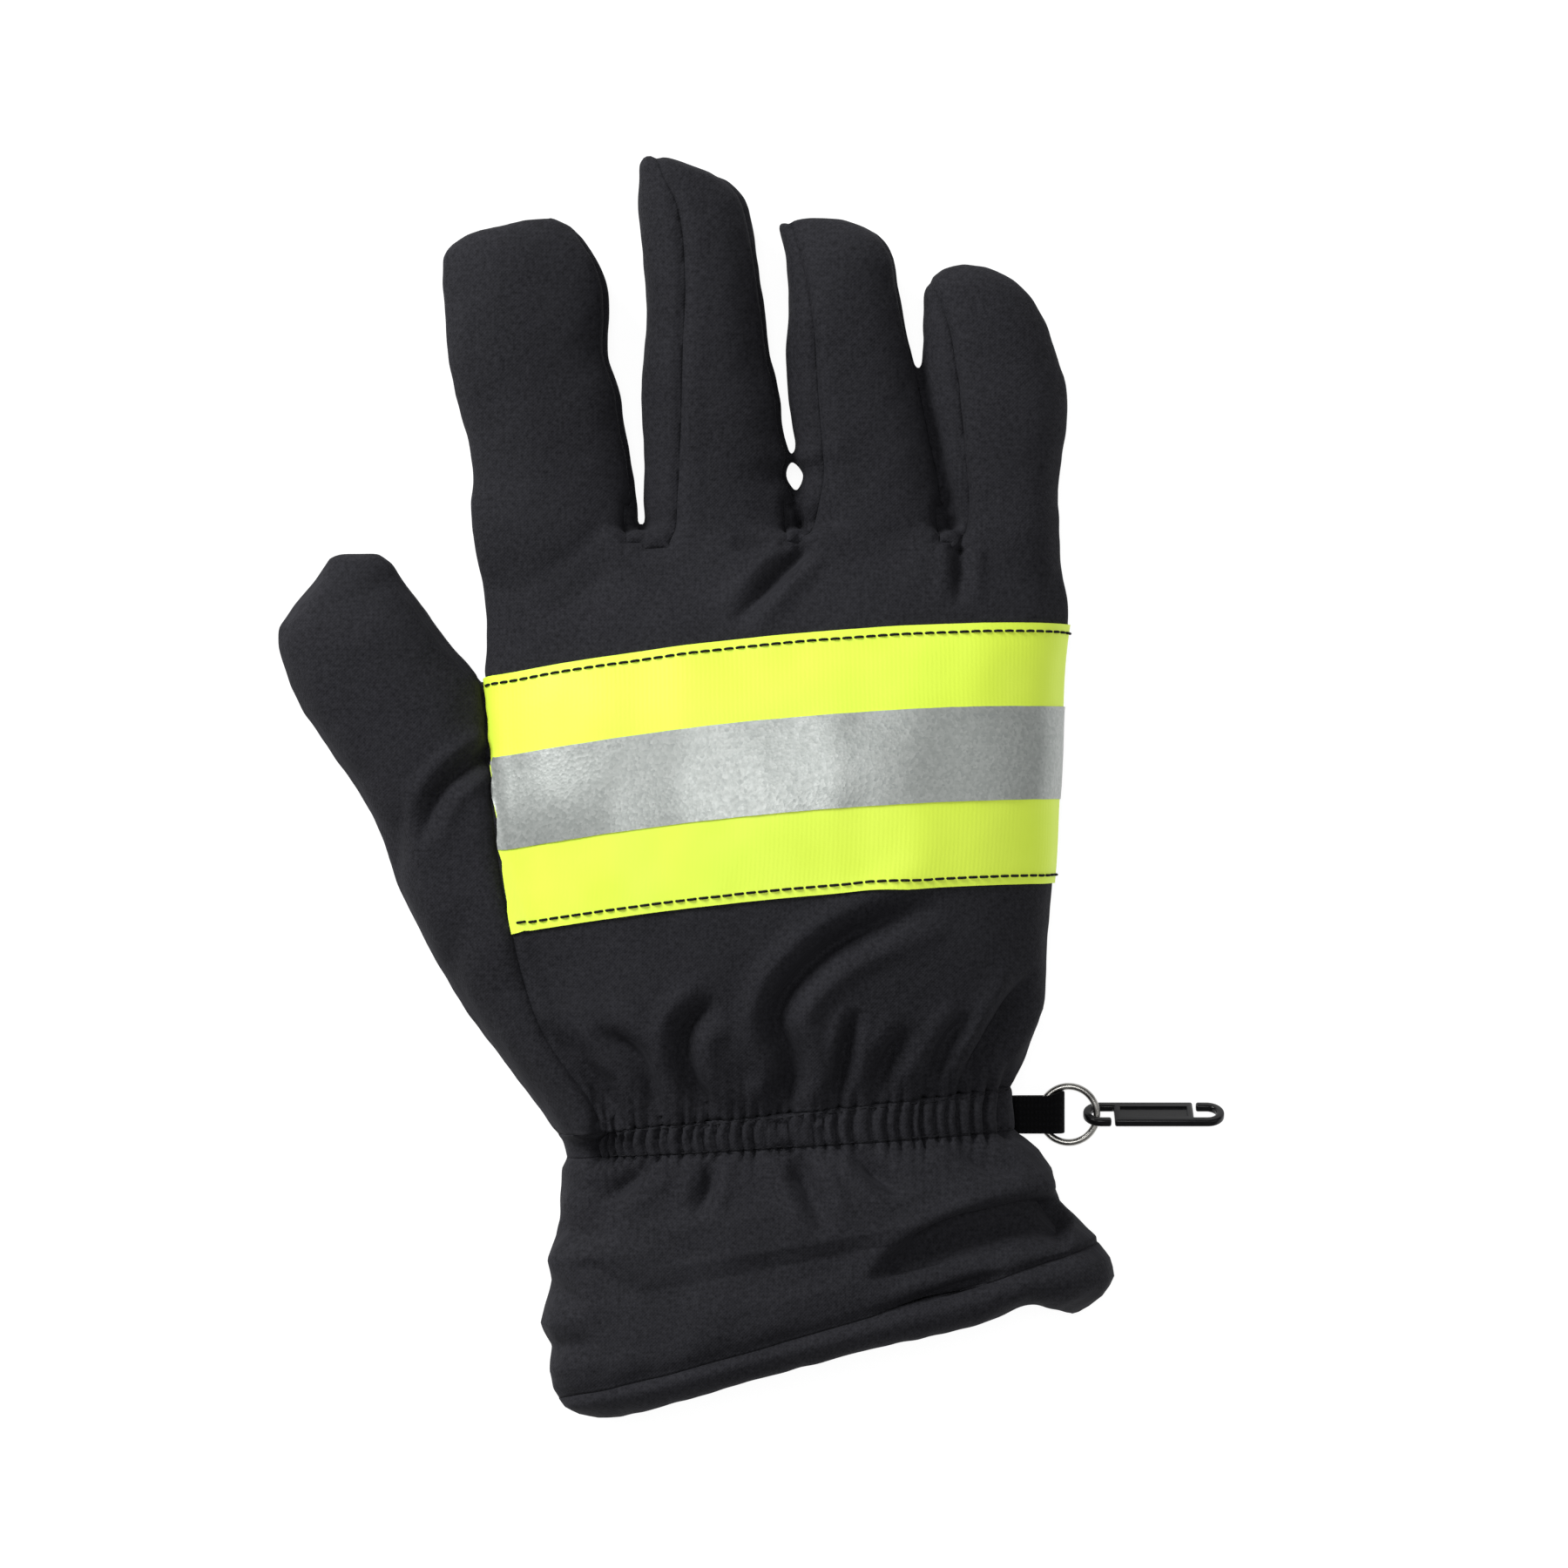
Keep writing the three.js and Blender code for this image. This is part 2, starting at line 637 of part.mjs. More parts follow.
// The back's side of the thumb seam; the line runs from the fingers down, so it lies to its left.
const backEdge = shifted(seamLine, gap / 2 + 0.02);
const thumbEdge = shifted(seamLine, -gap / 2 - 0.02);
const backZone = [...backEdge, [backEdge.at(-1)[0], -beyond], [beyond, -beyond], [beyond, beyond],
  [backEdge[0][0], beyond]];
const thumbZone = [...thumbEdge, [thumbEdge.at(-1)[0], -beyond], [-beyond, -beyond],
  [-beyond, beyond], [thumbEdge[0][0], beyond]];
const everywhere = [[-beyond, -beyond], [beyond, -beyond], [beyond, beyond], [-beyond, beyond]];

const neighbours = [
  ['fourchette_index_middle', digits.index, digits.middle],
  ['fourchette_middle_ring', digits.middle, digits.ring],
  ['fourchette_ring_little', digits.ring, digits.little],
];
const stripRoom = joined(neighbours.map(([, first, second]) => stripRegion(first, second, gap)));

function backPanel() {
  const zone = prism(backZone, seamHeight + gap / 2, beyond);
  return handShell.intersect(zone).subtract(stripRoom);
}

function palmPanel() {
  const zone = prism(everywhere, -beyond, seamHeight - gap / 2);
  return handShell.intersect(zone).subtract(stripRoom);
}

function thumbBack() {
  return handShell.intersect(prism(thumbZone, seamHeight + gap / 2, beyond));
}

function fourchette(first, second) {
  return handShell.intersect(stripRegion(first, second, 0));
}

// Wrist band, cuff and hem
const bandTurns = turns(64, 10);
const bandSections = [0, 1].map(bandSection);
function wristBand() {
  const outer = sleeveRings(bandSections, 0, bandTurns, []);
  const inner = sleeveRings(bandSections, wall, bandTurns, []);
  return sleeve(outer, inner);
}

const cuffTurns = turns(30, 8);
const cuffSections = cuffRows.map(cuffSection);
function cuff() {
  const outer = sleeveRings(cuffSections, 0, cuffTurns, cuffCreases);
  const inner = sleeveRings(cuffSections, wall, cuffTurns, cuffCreases);
  return sleeve(outer, inner);
}

const hemTurns = turns(26, 8);
function cuffHem() {
  const sections = hemRows.map(hemSection);
  const proud = sections.map((section, i) => ({
    ...section,
    left: section.left - (i < sections.length - 1 ? hemRise : 0),
    over: section.over + (i < sections.length - 1 ? hemRise : 0),
  }));
  const outer = sleeveRings(proud, 0, hemTurns, []);
  const inner = sleeveRings(sections, wall, hemTurns, []);
  return sleeve(outer, inner);
}

// Reflective tape: two skins over the back, each clear of what is under it
const tapeMiddle = 3.5; // the tape's middle lies this far up from the origin
const tapeLine = (x, offset) =>
  tapeMiddle + offset + slopeOf(tapeTilt) * x - tapeArch * ((x / palmHalf) ** 2 - 0.3);
function tapeOutline(width) {
  const steps = 10;
  const from = -1.1 * palmHalf;
  const to = 1.1 * palmHalf;
  const xs = Array.from({ length: steps + 1 }, (_, i) => mix(from, to, i / steps));
  const upper = xs.map((x) => [x, tapeLine(x, width / 2)]);
  const lower = xs.map((x) => [x, tapeLine(x, -width / 2)]);
  return [...lower, ...upper.reverse()];
}
function tapeLayer(width, lift, thickness) {
  const skin = solidOf(handLoft(-lift - thickness)).subtract(solidOf(handLoft(-lift)));
  const onBack = skin.subtract(solidOf(digitLoft(thumb, -lift, thumbSteps)));
  const leftOfSeam = prism(
    [...shifted(seamLine, gap), [beyond, -beyond], [beyond, beyond]],
    -beyond,
    beyond,
  );
  const zone = prism(tapeOutline(width), seamHeight + gap, beyond);
  return onBack.intersect(zone).intersect(leftOfSeam);
}

// Webbing loop, ring and clip lie in one line at the wrist's right side
const wristRight = 1.05 * wristHalf;
const bandMiddle = bandSection(0.5);
const hardwareY = bandMiddle.y + bandMiddle.slope * wristRight;
const lean = THREE.MathUtils.degToRad(clipRoll);
const clipRest = 0.1; // the clip's lowest edge lies this far over the surface
const hardwareZ = (clipWidth / 2) * Math.sin(lean) + (clipWire / 2) * Math.cos(lean) + clipRest;
const foldX = wristRight + strapReach;
const ringRadius = (ringDiameter - ringWire) / 2;
const ringX = foldX - strapThickness - ringWire / 2 - strapSlack + ringRadius;
const clipX = ringX + ringRadius - ringWire / 2 - hookClearance - clipWire;

function hangLoop() {
  const slotHalf = ringWire / 2 + gap;
  const outerHalf = slotHalf + strapThickness;
  const rootX = wristRight - 4;
  const partX = wristRight + 1.5;
  const openX = wristRight + 3.5;
  const bendX = foldX - outerHalf;
  const shape = new THREE.Shape();
  shape.moveTo(rootX, -strapThickness);
  shape.lineTo(partX, -strapThickness);
  shape.lineTo(openX, -outerHalf);
  shape.lineTo(bendX, -outerHalf);
  shape.absarc(bendX, 0, outerHalf, -Math.PI / 2, Math.PI / 2, false);
  shape.lineTo(openX, outerHalf);
  shape.lineTo(partX, strapThickness);
  shape.lineTo(rootX, strapThickness);
  const slot = new THREE.Path();
  slot.moveTo(partX + 0.5, 0);
  slot.lineTo(openX + 0.5, -slotHalf);
  slot.lineTo(bendX, -slotHalf);
  slot.absarc(bendX, 0, slotHalf, -Math.PI / 2, Math.PI / 2, false);
  slot.lineTo(openX + 0.5, slotHalf);
  shape.holes.push(slot);
  const settings = { depth: strapWidth, bevelEnabled: false, curveSegments: 6 };
  const geometry = new THREE.ExtrudeGeometry(shape, settings);
  geometry.rotateX(Math.PI / 2);
  geometry.translate(0, hardwareY + strapWidth / 2, hardwareZ);
  const bandSkin = loft(sleeveRings(bandSections, -gap, bandTurns, []));
  const cuffSkin = loft(sleeveRings(cuffSections, -gap, cuffTurns, []));
  return [bandSkin, cuffSkin, handLoft(-gap)].reduce(
    (strap, skin) => strap.subtract(solidOf(skin)),
    solidOf(geometry),
  );
}

function ringGeometry() {
  return new THREE.TorusGeometry(ringRadius, ringWire / 2, 6, 20);
}

// The clip is one flat form with a hook at each end, open on opposite sides.
function clipGeometry() {
  const outer = clipWidth / 2;
  const inner = outer - clipWire;
  const hookEnd = clipWire + clipHook;
  const shape = new THREE.Shape();
  shape.moveTo(hookEnd, -outer);
  shape.lineTo(clipLength - outer, -outer);
  shape.absarc(clipLength - outer, 0, outer, -Math.PI / 2, Math.PI / 2, false);
  shape.lineTo(clipLength - hookEnd + clipMouth, outer);
  shape.lineTo(clipLength - hookEnd + clipMouth, inner);
  shape.lineTo(clipLength - outer, inner);
  shape.absarc(clipLength - outer, 0, inner, Math.PI / 2, -Math.PI / 2, true);
  shape.lineTo(clipLength - hookEnd, -inner);
  shape.lineTo(clipLength - hookEnd, outer);
  shape.lineTo(outer, outer);
  shape.absarc(outer, 0, outer, Math.PI / 2, -Math.PI / 2, false);
  shape.lineTo(hookEnd - clipMouth, -outer);
  shape.lineTo(hookEnd - clipMouth, -inner);
  shape.lineTo(outer, -inner);
  shape.absarc(outer, 0, inner, -Math.PI / 2, Math.PI / 2, true);
  shape.lineTo(hookEnd, inner);
  const settings = { depth: clipWire, bevelEnabled: false, curveSegments: 8 };
  return new THREE.ExtrudeGeometry(shape, settings).translate(0, 0, -clipWire / 2);
}

const materials = {
  cloth: new THREE.MeshStandardMaterial({ color: 0x26262a, roughness: 0.9, metalness: 0 }),
  lime: new THREE.MeshStandardMaterial({ color: 0xe6ff3c, roughness: 0.55, metalness: 0 }),
  silver: new THREE.MeshStandardMaterial({ color: 0xa5aaa8, roughness: 0.4, metalness: 0.3 }),
  webbing: new THREE.MeshStandardMaterial({ color: 0x0c0c0d, roughness: 0.85, metalness: 0 }),
  steel: new THREE.MeshStandardMaterial({ color: 0x8c8f92, roughness: 0.3, metalness: 1 }),
  plastic: new THREE.MeshStandardMaterial({ color: 0x101012, roughness: 0.25, metalness: 0 }),
};

const glove = new THREE.Group();

function addPiece(name, geometry, material) {
  const mesh = new THREE.Mesh(geometry, material.clone());
  mesh.name = name;
  glove.add(mesh);
  return mesh;
}

addPiece('back_panel', geometryOf(backPanel()), materials.cloth);
addPiece('palm_panel', geometryOf(palmPanel()), materials.cloth);
addPiece('thumb_back', geometryOf(thumbBack()), materials.cloth);
for (const [name, first, second] of neighbours) {
  addPiece(name, geometryOf(fourchette(first, second)), materials.cloth);
}
addPiece('wrist_band', wristBand(), materials.cloth);
addPiece('cuff', cuff(), materials.cloth);
addPiece('cuff_hem', cuffHem(), materials.cloth);
addPiece('tape_backing', geometryOf(tapeLayer(tapeWidth, gap, tapeThickness)), materials.lime);
const stripeLift = 2 * gap + tapeThickness;
const stripe = tapeLayer(stripeWidth, stripeLift, stripeThickness);
addPiece('tape_stripe', geometryOf(stripe), materials.silver);
addPiece('hang_loop', geometryOf(hangLoop()), materials.webbing);

const ring = addPiece('ring', ringGeometry(), materials.steel);
ring.position.set(ringX, hardwareY, hardwareZ);

const clip = addPiece('clip', clipGeometry(), materials.plastic);
clip.position.set(clipX, hardwareY, hardwareZ);
clip.rotation.x = -lean;

export default glove;
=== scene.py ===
# %% [markdown]
# # A firefighter glove, back up, on a pale table
#
# The glove is sewn from padded black cloth: a back, a palm, a thumb gore and narrow strips between
# the fingers, then an elastic wrist, a short cuff and its hem. A lime and silver tape crosses the
# back, and a webbing loop holds a steel ring and a plastic clip. The solid model gives the sizes.
# Here each solid is replaced by a finely shaped piece in the same place, in metres.

import json
import math
import time

import bpy
import numpy as np
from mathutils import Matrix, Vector
from mathutils.bvhtree import BVHTree
from mathutils.kdtree import KDTree

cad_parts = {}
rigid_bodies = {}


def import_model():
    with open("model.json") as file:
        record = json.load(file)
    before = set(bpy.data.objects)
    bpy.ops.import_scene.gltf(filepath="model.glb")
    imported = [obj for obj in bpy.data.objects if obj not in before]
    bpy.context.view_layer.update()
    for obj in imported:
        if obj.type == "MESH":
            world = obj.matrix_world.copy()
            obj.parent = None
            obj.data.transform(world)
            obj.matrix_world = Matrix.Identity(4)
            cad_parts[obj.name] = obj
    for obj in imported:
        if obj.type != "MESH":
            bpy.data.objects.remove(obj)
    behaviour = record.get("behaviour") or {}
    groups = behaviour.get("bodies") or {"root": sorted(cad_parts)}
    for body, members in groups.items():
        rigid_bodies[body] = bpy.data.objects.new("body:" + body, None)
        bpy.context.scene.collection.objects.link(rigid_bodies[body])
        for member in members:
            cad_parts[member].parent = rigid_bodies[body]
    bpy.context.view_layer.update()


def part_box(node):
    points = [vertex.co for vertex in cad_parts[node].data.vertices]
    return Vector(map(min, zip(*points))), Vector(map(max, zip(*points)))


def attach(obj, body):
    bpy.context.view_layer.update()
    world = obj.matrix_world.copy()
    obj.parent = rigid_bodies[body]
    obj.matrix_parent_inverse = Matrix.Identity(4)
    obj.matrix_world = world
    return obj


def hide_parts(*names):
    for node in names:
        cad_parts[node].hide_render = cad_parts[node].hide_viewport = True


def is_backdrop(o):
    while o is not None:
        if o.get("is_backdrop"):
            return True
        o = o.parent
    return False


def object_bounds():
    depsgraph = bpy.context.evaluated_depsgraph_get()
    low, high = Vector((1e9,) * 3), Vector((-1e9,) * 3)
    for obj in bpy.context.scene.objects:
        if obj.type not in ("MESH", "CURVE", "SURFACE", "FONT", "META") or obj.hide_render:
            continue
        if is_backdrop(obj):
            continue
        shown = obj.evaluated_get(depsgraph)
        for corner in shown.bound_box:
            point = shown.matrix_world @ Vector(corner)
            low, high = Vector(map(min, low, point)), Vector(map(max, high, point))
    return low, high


started = time.time()
for leftover in list(bpy.data.objects):
    bpy.data.objects.remove(leftover)
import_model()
MM = 0.001

# %% [markdown]
# ## Camera and light
#
# The photograph looks straight down on the glove, from about a metre, with the fingers up. A long
# lens keeps the fingers from leaning outwards. Its light is one big soft source from the upper left
# and white bounce all round, so the shadows are faint and the folds still show their dark side.

# %% The camera over the glove
PHOTO_WIDTH = 315.0        # mm of the table that the square picture covers
CAMERA_HEIGHT = 1050.0
PLANE_HEIGHT = 12.0        # the height at which that width holds
SENSOR_WIDTH = 36.0
camera_data = bpy.data.cameras.new("camera")
camera_data.sensor_width = SENSOR_WIDTH
camera_data.lens = SENSOR_WIDTH * (CAMERA_HEIGHT - PLANE_HEIGHT) / PHOTO_WIDTH
camera = bpy.data.objects.new("camera", camera_data)
camera.location = (1.75 * MM, 0.0, CAMERA_HEIGHT * MM)
bpy.context.collection.objects.link(camera)
bpy.context.scene.camera = camera
print("lens in mm", round(camera_data.lens, 1))


# %% Soft studio lights
def soft_light(name, place, size, power):
    """A round soft light that shines on the glove's middle."""
    data = bpy.data.lights.new(name, "AREA")
    data.shape = "DISK"
    data.size = size
    data.energy = power
    lamp = bpy.data.objects.new(name, data)
    lamp.location = place
    lamp.rotation_euler = (-Vector(place)).to_track_quat("-Z", "Y").to_euler()
    bpy.context.collection.objects.link(lamp)


soft_light("key_light", (-0.85, 0.85, 0.68), 0.65, 21.0)
soft_light("fill_light", (0.9, -0.3, 0.9), 1.0, 2.0)
soft_light("top_light", (-0.05, 0.16, 1.55), 0.5, 5.6)
world = bpy.data.worlds.new("white_room")
world.use_nodes = True
background = world.node_tree.nodes["Background"]
background.inputs["Color"].default_value = (1, 1, 1, 1)
background.inputs["Strength"].default_value = 0.2
bpy.context.scene.world = world
bpy.context.scene.view_settings.view_transform = "Standard"

# %% [markdown]
# ## The glove's forms as sections
#
# The cloth has no hard shape of its own: it follows a hand. So each finger, the thumb and the hand
# are a tube through a row of cross-sections, each a rounded outline with an arched back and a
# flatter palm side. The numbers are the ones of the solid model, with more sections in between so
# that the small waves in the outline show too.

# %% Sizes that the forms share
SEAM = 10.0                # height of the side seams above the table
FLAT = 0.5                 # how far the underside is pressed flat
WRIST_Y, CROTCH_Y = -65.42, 50.58
BAND_TOP, BAND_FOOT = -65.72, -72.32
CUFF_TOP, CUFF_FOOT = -72.62, -110.62
HEM_TOP, HEM_FOOT = -110.92, -119.12
PALM_HALF, WRIST_HALF, CUFF_HALF = 58.5, 45.25, 54.0
HAND_DEPTH, WRIST_DEPTH, CUFF_DEPTH, FINGER_DEPTH, THUMB_DEPTH = 34.0, 27.0, 34.0, 21.0, 25.0
WALL = 2.6                 # of the sleeves
ON_TABLE = 0.03            # the least height of the outside, clear of the table
slope = {name: math.tan(math.radians(angle)) for name, angle in
         {"wrist": 5.9, "band": 3.5, "hem": 16.2, "mouth": 14.0}.items()}

# Along, left, right, top, tilt: shares as in the solid model
HAND_ROWS = [
    (-0.04, -0.739, 0.808, 0.786, 1), (0, -0.739, 0.808, 0.794, 1),
    (0.047, -0.797, 0.859, 0.834, 1), (0.12, -0.86, 0.912, 0.91, 1),
    (0.25, -0.95, 0.94, 0.98, 0.98), (0.39, -1.017, 0.957, 1, 0.96),
    (0.55, -1.045, 0.974, 1, 0.96), (0.71, -1.01, 0.987, 0.94, 0.94),
    (0.84, -0.992, 1.009, 0.83, 0.56), (0.94, -1.008, 0.985, 0.7, 0.2),
    (1, -1.035, 0.978, 0.62, 0),
]
# Along, left, right, depth
INDEX_ROWS = [
    (-0.19, 0.9, 0.9, 0.92), (0, 0.99, 1.01, 1), (0.09, 0.985, 1.01, 1), (0.2, 0.885, 1.03, 1),
    (0.31, 0.9, 1.0, 1), (0.42, 0.96, 0.98, 1), (0.53, 0.99, 0.91, 1), (0.65, 1.0, 0.99, 1),
    (0.76, 0.98, 1.0, 0.97), (0.87, 0.935, 0.905, 0.88), (0.94, 0.84, 0.78, 0.72),
    (0.975, 0.6, 0.68, 0.56), (1, -0.1, 0.5, 0.36),
]
MIDDLE_ROWS = [
    (-0.16, 0.9, 0.94, 0.92), (0, 0.977, 1.04, 1), (0.07, 0.977, 1.07, 1), (0.105, 0.96, 1.0, 1),
    (0.133, 0.94, 0.925, 1), (0.158, 0.93, 0.965, 1), (0.181, 0.92, 1.04, 1), (0.21, 0.92, 0.99, 1),
    (0.258, 0.915, 0.945, 1), (0.35, 0.885, 0.935, 1), (0.443, 0.84, 0.886, 1),
    (0.536, 0.764, 0.858, 1), (0.63, 0.686, 0.82, 1), (0.72, 0.68, 0.815, 0.97),
    (0.815, 0.695, 0.786, 0.92), (0.907, 0.687, 0.62, 0.8), (0.954, 0.643, 0.35, 0.68),
    (0.988, 0.63, -0.08, 0.54), (1.0, 0.6, -0.22, 0.44), (1.012, 0.56, -0.4, 0.36),
]
RING_ROWS = [
    (-0.19, 0.92, 0.88, 0.92), (0, 1.03, 0.965, 1), (0.1, 1.06, 0.965, 1),
    (0.15, 1.05, 0.95, 1), (0.186, 0.97, 0.94, 1), (0.216, 0.925, 0.93, 1), (0.243, 0.965, 0.925, 1),
    (0.272, 1.045, 0.915, 1), (0.3, 0.99, 0.91, 1), (0.36, 0.965, 0.89, 1), (0.42, 0.965, 0.87, 1),
    (0.534, 0.94, 0.796, 1), (0.645, 0.893, 0.76, 0.99), (0.757, 0.76, 0.736, 0.96),
    (0.869, 0.736, 0.736, 0.88), (0.925, 0.748, 0.627, 0.77), (0.966, 0.76, 0.42, 0.62),
    (1.0, 0.77, 0.1, 0.44), (1.024, 0.77, -0.3, 0.34),
]
LITTLE_ROWS = [
    (-0.22, 0.73, 0.7, 0.92), (0, 0.79, 0.74, 1), (0.1, 0.79, 0.756, 1), (0.234, 0.846, 0.854, 1),
    (0.366, 0.885, 0.97, 1), (0.498, 0.95, 1.01, 1), (0.63, 0.98, 0.95, 0.98),
    (0.762, 0.925, 0.84, 0.93), (0.828, 0.9, 0.73, 0.88), (0.894, 0.87, 0.58, 0.79),
    (0.944, 0.85, 0.4, 0.7), (0.987, 0.75, 0.14, 0.52), (1.004, 0.7, -0.02, 0.42),
    (1.018, 0.58, -0.2, 0.34),
]
THUMB_ROWS = [
    (-0.24, 0.12, 0.6, 1), (-0.12, 0.32, 0.75, 1.03), (0.04, 0.56, 0.85, 1.06),
    (0.2, 0.76, 0.89, 1.08), (0.37, 0.82, 0.9, 1.06), (0.49, 0.78, 0.92, 1.04),
    (0.585, 0.83, 0.96, 1.02), (0.67, 0.98, 0.99, 1), (0.76, 1.07, 0.84, 0.98),
    (0.85, 1.04, 0.7, 0.92), (0.9, 1.0, 0.62, 0.84), (0.926, 0.86, 0.6, 0.76), (0.95, 0.5, 0.59, 0.66),
    (0.972, 0.26, 0.42, 0.52), (0.992, 0.08, 0.06, 0.4),
]
# name: axis at the crotch in x, y, lean in degrees, length, half width, depth, rows
DIGITS = {
    "index": (-44.28, CROTCH_Y, 7.5, 63.0, 16.6, FINGER_DEPTH, INDEX_ROWS),
    "middle": (-11.12, CROTCH_Y, 5.2, 75.7, 15.0, FINGER_DEPTH, MIDDLE_ROWS),
    "ring": (21.12, CROTCH_Y, 8.5, 63.3, 14.5, FINGER_DEPTH, RING_ROWS),
    "little": (46.8, CROTCH_Y, 5.5, 53.3, 14.0, FINGER_DEPTH, LITTLE_ROWS),
    "thumb": (-46.39, -52.43, 23.2, 107.5, 17.0, THUMB_DEPTH, THUMB_ROWS),
}
print("digits:", {name: values[3] for name, values in DIGITS.items()})


# %% Sections and tubes
def smooth_rows(rows, count):
    """Rows in between, on a curve that runs through each given row without swinging past it."""
    table = np.array(rows, float)
    stations = np.linspace(table[0, 0], table[-1, 0], count)
    columns = [stations]
    for column in table.T[1:]:
        tangents = np.gradient(column, table[:, 0])
        k = np.clip(np.searchsorted(table[:, 0], stations, side="right") - 1, 0, len(table) - 2)
        span = table[k + 1, 0] - table[k, 0]
        t = (stations - table[k, 0]) / span
        columns.append((2 * t**3 - 3 * t**2 + 1) * column[k] + (t**3 - 2 * t**2 + t) * span * tangents[k]
                       + (3 * t**2 - 2 * t**3) * column[k + 1] + (t**3 - t**2) * span * tangents[k + 1])
    return np.array(columns).T


def outline(left, right, over, under, angles, arch=2.35, palm=3.2):
    """A section about the seam's height: across and height for each angle round it."""
    c, s = np.cos(angles), np.sin(angles)
    power = np.where(s >= 0, 2 / arch, 2 / palm)
    across = (left + right) / 2 + (right - left) / 2 * np.sign(c) * np.abs(c) ** power
    height = SEAM + np.abs(s) ** power * np.where(s >= 0, over, -under)
    return across, height


def digit_place(name, station, across):
    x0, y0, lean = DIGITS[name][:3]
    turn = math.radians(lean)
    return (x0 - math.sin(turn) * station + math.cos(turn) * across,
            y0 + math.cos(turn) * station + math.sin(turn) * across)


def digit_rings(name, count=46, around=40):
    length, half, depth, rows = DIGITS[name][3:]
    angles = np.linspace(0, 2 * math.pi, around, endpoint=False)
    rings = []
    for along, left, right, deep in smooth_rows(rows, count):
        least = max(1.0, deep * depth / 2)
        across, height = outline(-left * half, right * half, max(least, deep * depth - SEAM),
                                 min(least, SEAM + FLAT), angles, 2.2, 2.2)
        x, y = digit_place(name, along * length, across)
        rings.append(np.stack([x, y, np.maximum(height, 0.0)], 1))
    return rings


def row_at(rows, along):
    """The values of a table's row at a place between its rows."""
    table = np.array(rows)
    return [np.interp(along, table[:, 0], column) for column in table.T[1:]]


def hand_section(along):
    """Left, right, over and slope of the hand's section at a share of its length."""
    left, right, top, tilt = row_at(HAND_ROWS, along)
    return left * PALM_HALF, right * PALM_HALF, top * HAND_DEPTH - SEAM, slope["wrist"] * tilt


def hand_rings(count=60, around=96):
    angles = np.linspace(0, 2 * math.pi, around, endpoint=False)
    rings = []
    for along, left, right, top, tilt in smooth_rows(HAND_ROWS, count):
        across, height = outline(left * PALM_HALF, right * PALM_HALF, top * HAND_DEPTH - SEAM,
                                 SEAM + FLAT, angles)
        y = WRIST_Y + along * (CROTCH_Y - WRIST_Y) + slope["wrist"] * tilt * across
        rings.append(np.stack([across, y, np.maximum(height, 0.0)], 1))
    return rings


def grid_faces(rows, count, closed_across=False, closed_down=False):
    """Faces between the corners of a grid, which may close on itself in either direction."""
    faces = []
    for r in range(rows if closed_down else rows - 1):
        for i in range(count if closed_across else count - 1):
            j, n = (i + 1) % count, (r + 1) % rows
            faces.append((r * count + i, r * count + j, n * count + j, n * count + i))
    return faces


def tube(rings):
    """Corners and faces of a closed tube through rings of equal counts."""
    rows, count = len(rings), len(rings[0])
    ends = [tuple(range(count))[::-1], tuple(range((rows - 1) * count, rows * count))]
    return np.concatenate(rings), grid_faces(rows, count, closed_across=True) + ends


def add_mesh(name, points, faces):
    """A mesh object at the origin from corners in millimetres."""
    mesh = bpy.data.meshes.new(name)
    mesh.from_pydata([tuple(p) for p in np.asarray(points) * MM], [], [tuple(f) for f in faces])
    mesh.update()
    piece = bpy.data.objects.new(name, mesh)
    bpy.context.collection.objects.link(piece)
    return piece


def use(piece):
    bpy.ops.object.select_all(action="DESELECT")
    piece.select_set(True)
    bpy.context.view_layer.objects.active = piece
    return piece


def turned_outwards(piece):
    use(piece)
    bpy.ops.object.mode_set(mode="EDIT")
    bpy.ops.mesh.select_all(action="SELECT")
    bpy.ops.mesh.normals_make_consistent(inside=False)
    bpy.ops.object.mode_set(mode="OBJECT")
    return piece


forms = [add_mesh("hand_form", *tube(hand_rings()))]
forms += [add_mesh(name + "_form", *tube(digit_rings(name))) for name in DIGITS]
print("forms:", [(form.name, len(form.data.polygons)) for form in forms])

# %% [markdown]
# ## One skin over the whole hand
#
# A glove's cloth runs on from the hand into each finger without a step. Voxel remeshing joins the
# six tubes into one skin of even small squares, and a few rounds of smoothing round the inner
# corners as cloth would. The seams are cut into that skin afterwards.

# %% Join the forms and remesh them
VOXEL = 0.82
for form in forms:
    turned_outwards(form)
use(forms[0])
for form in forms:
    form.select_set(True)
bpy.ops.object.join()
skin = bpy.context.active_object
skin.name = "hand_skin"
remesh = skin.modifiers.new("remesh", "REMESH")
remesh.mode = "VOXEL"
remesh.voxel_size = VOXEL * MM
smooth = skin.modifiers.new("smooth", "SMOOTH")
smooth.factor = 0.5
smooth.iterations = 7
bpy.ops.object.modifier_apply(modifier="remesh")
bpy.ops.object.modifier_apply(modifier="smooth")
print("skin:", len(skin.data.polygons), "squares,", round(time.time() - started, 1), "s")

# %% [markdown]
# ## Folds, and the seams that pull the cloth in
#
# Cloth that is bunched by an elastic or bent at the knuckles shows narrow valleys between round
# ridges. Each fold is a line over the glove, and the skin sinks along it by a smooth hollow. A
# seam is a sharper hollow with puffed cloth on both sides. Moving the corners of the skin along
# their normals gives full control over where each fold runs, which a cloth simulation doesn't.

# %% Lines over the glove, in millimetres
def lengths_along(line):
    """The length from a line's first place to each of its places."""
    return np.concatenate([[0], np.cumsum(np.linalg.norm(np.diff(line, axis=0), axis=1))])


def places_along(line, at):
    """The places at the given lengths along a line."""
    steps = lengths_along(line)
    return np.stack([np.interp(at, steps, column) for column in line.T], -1)


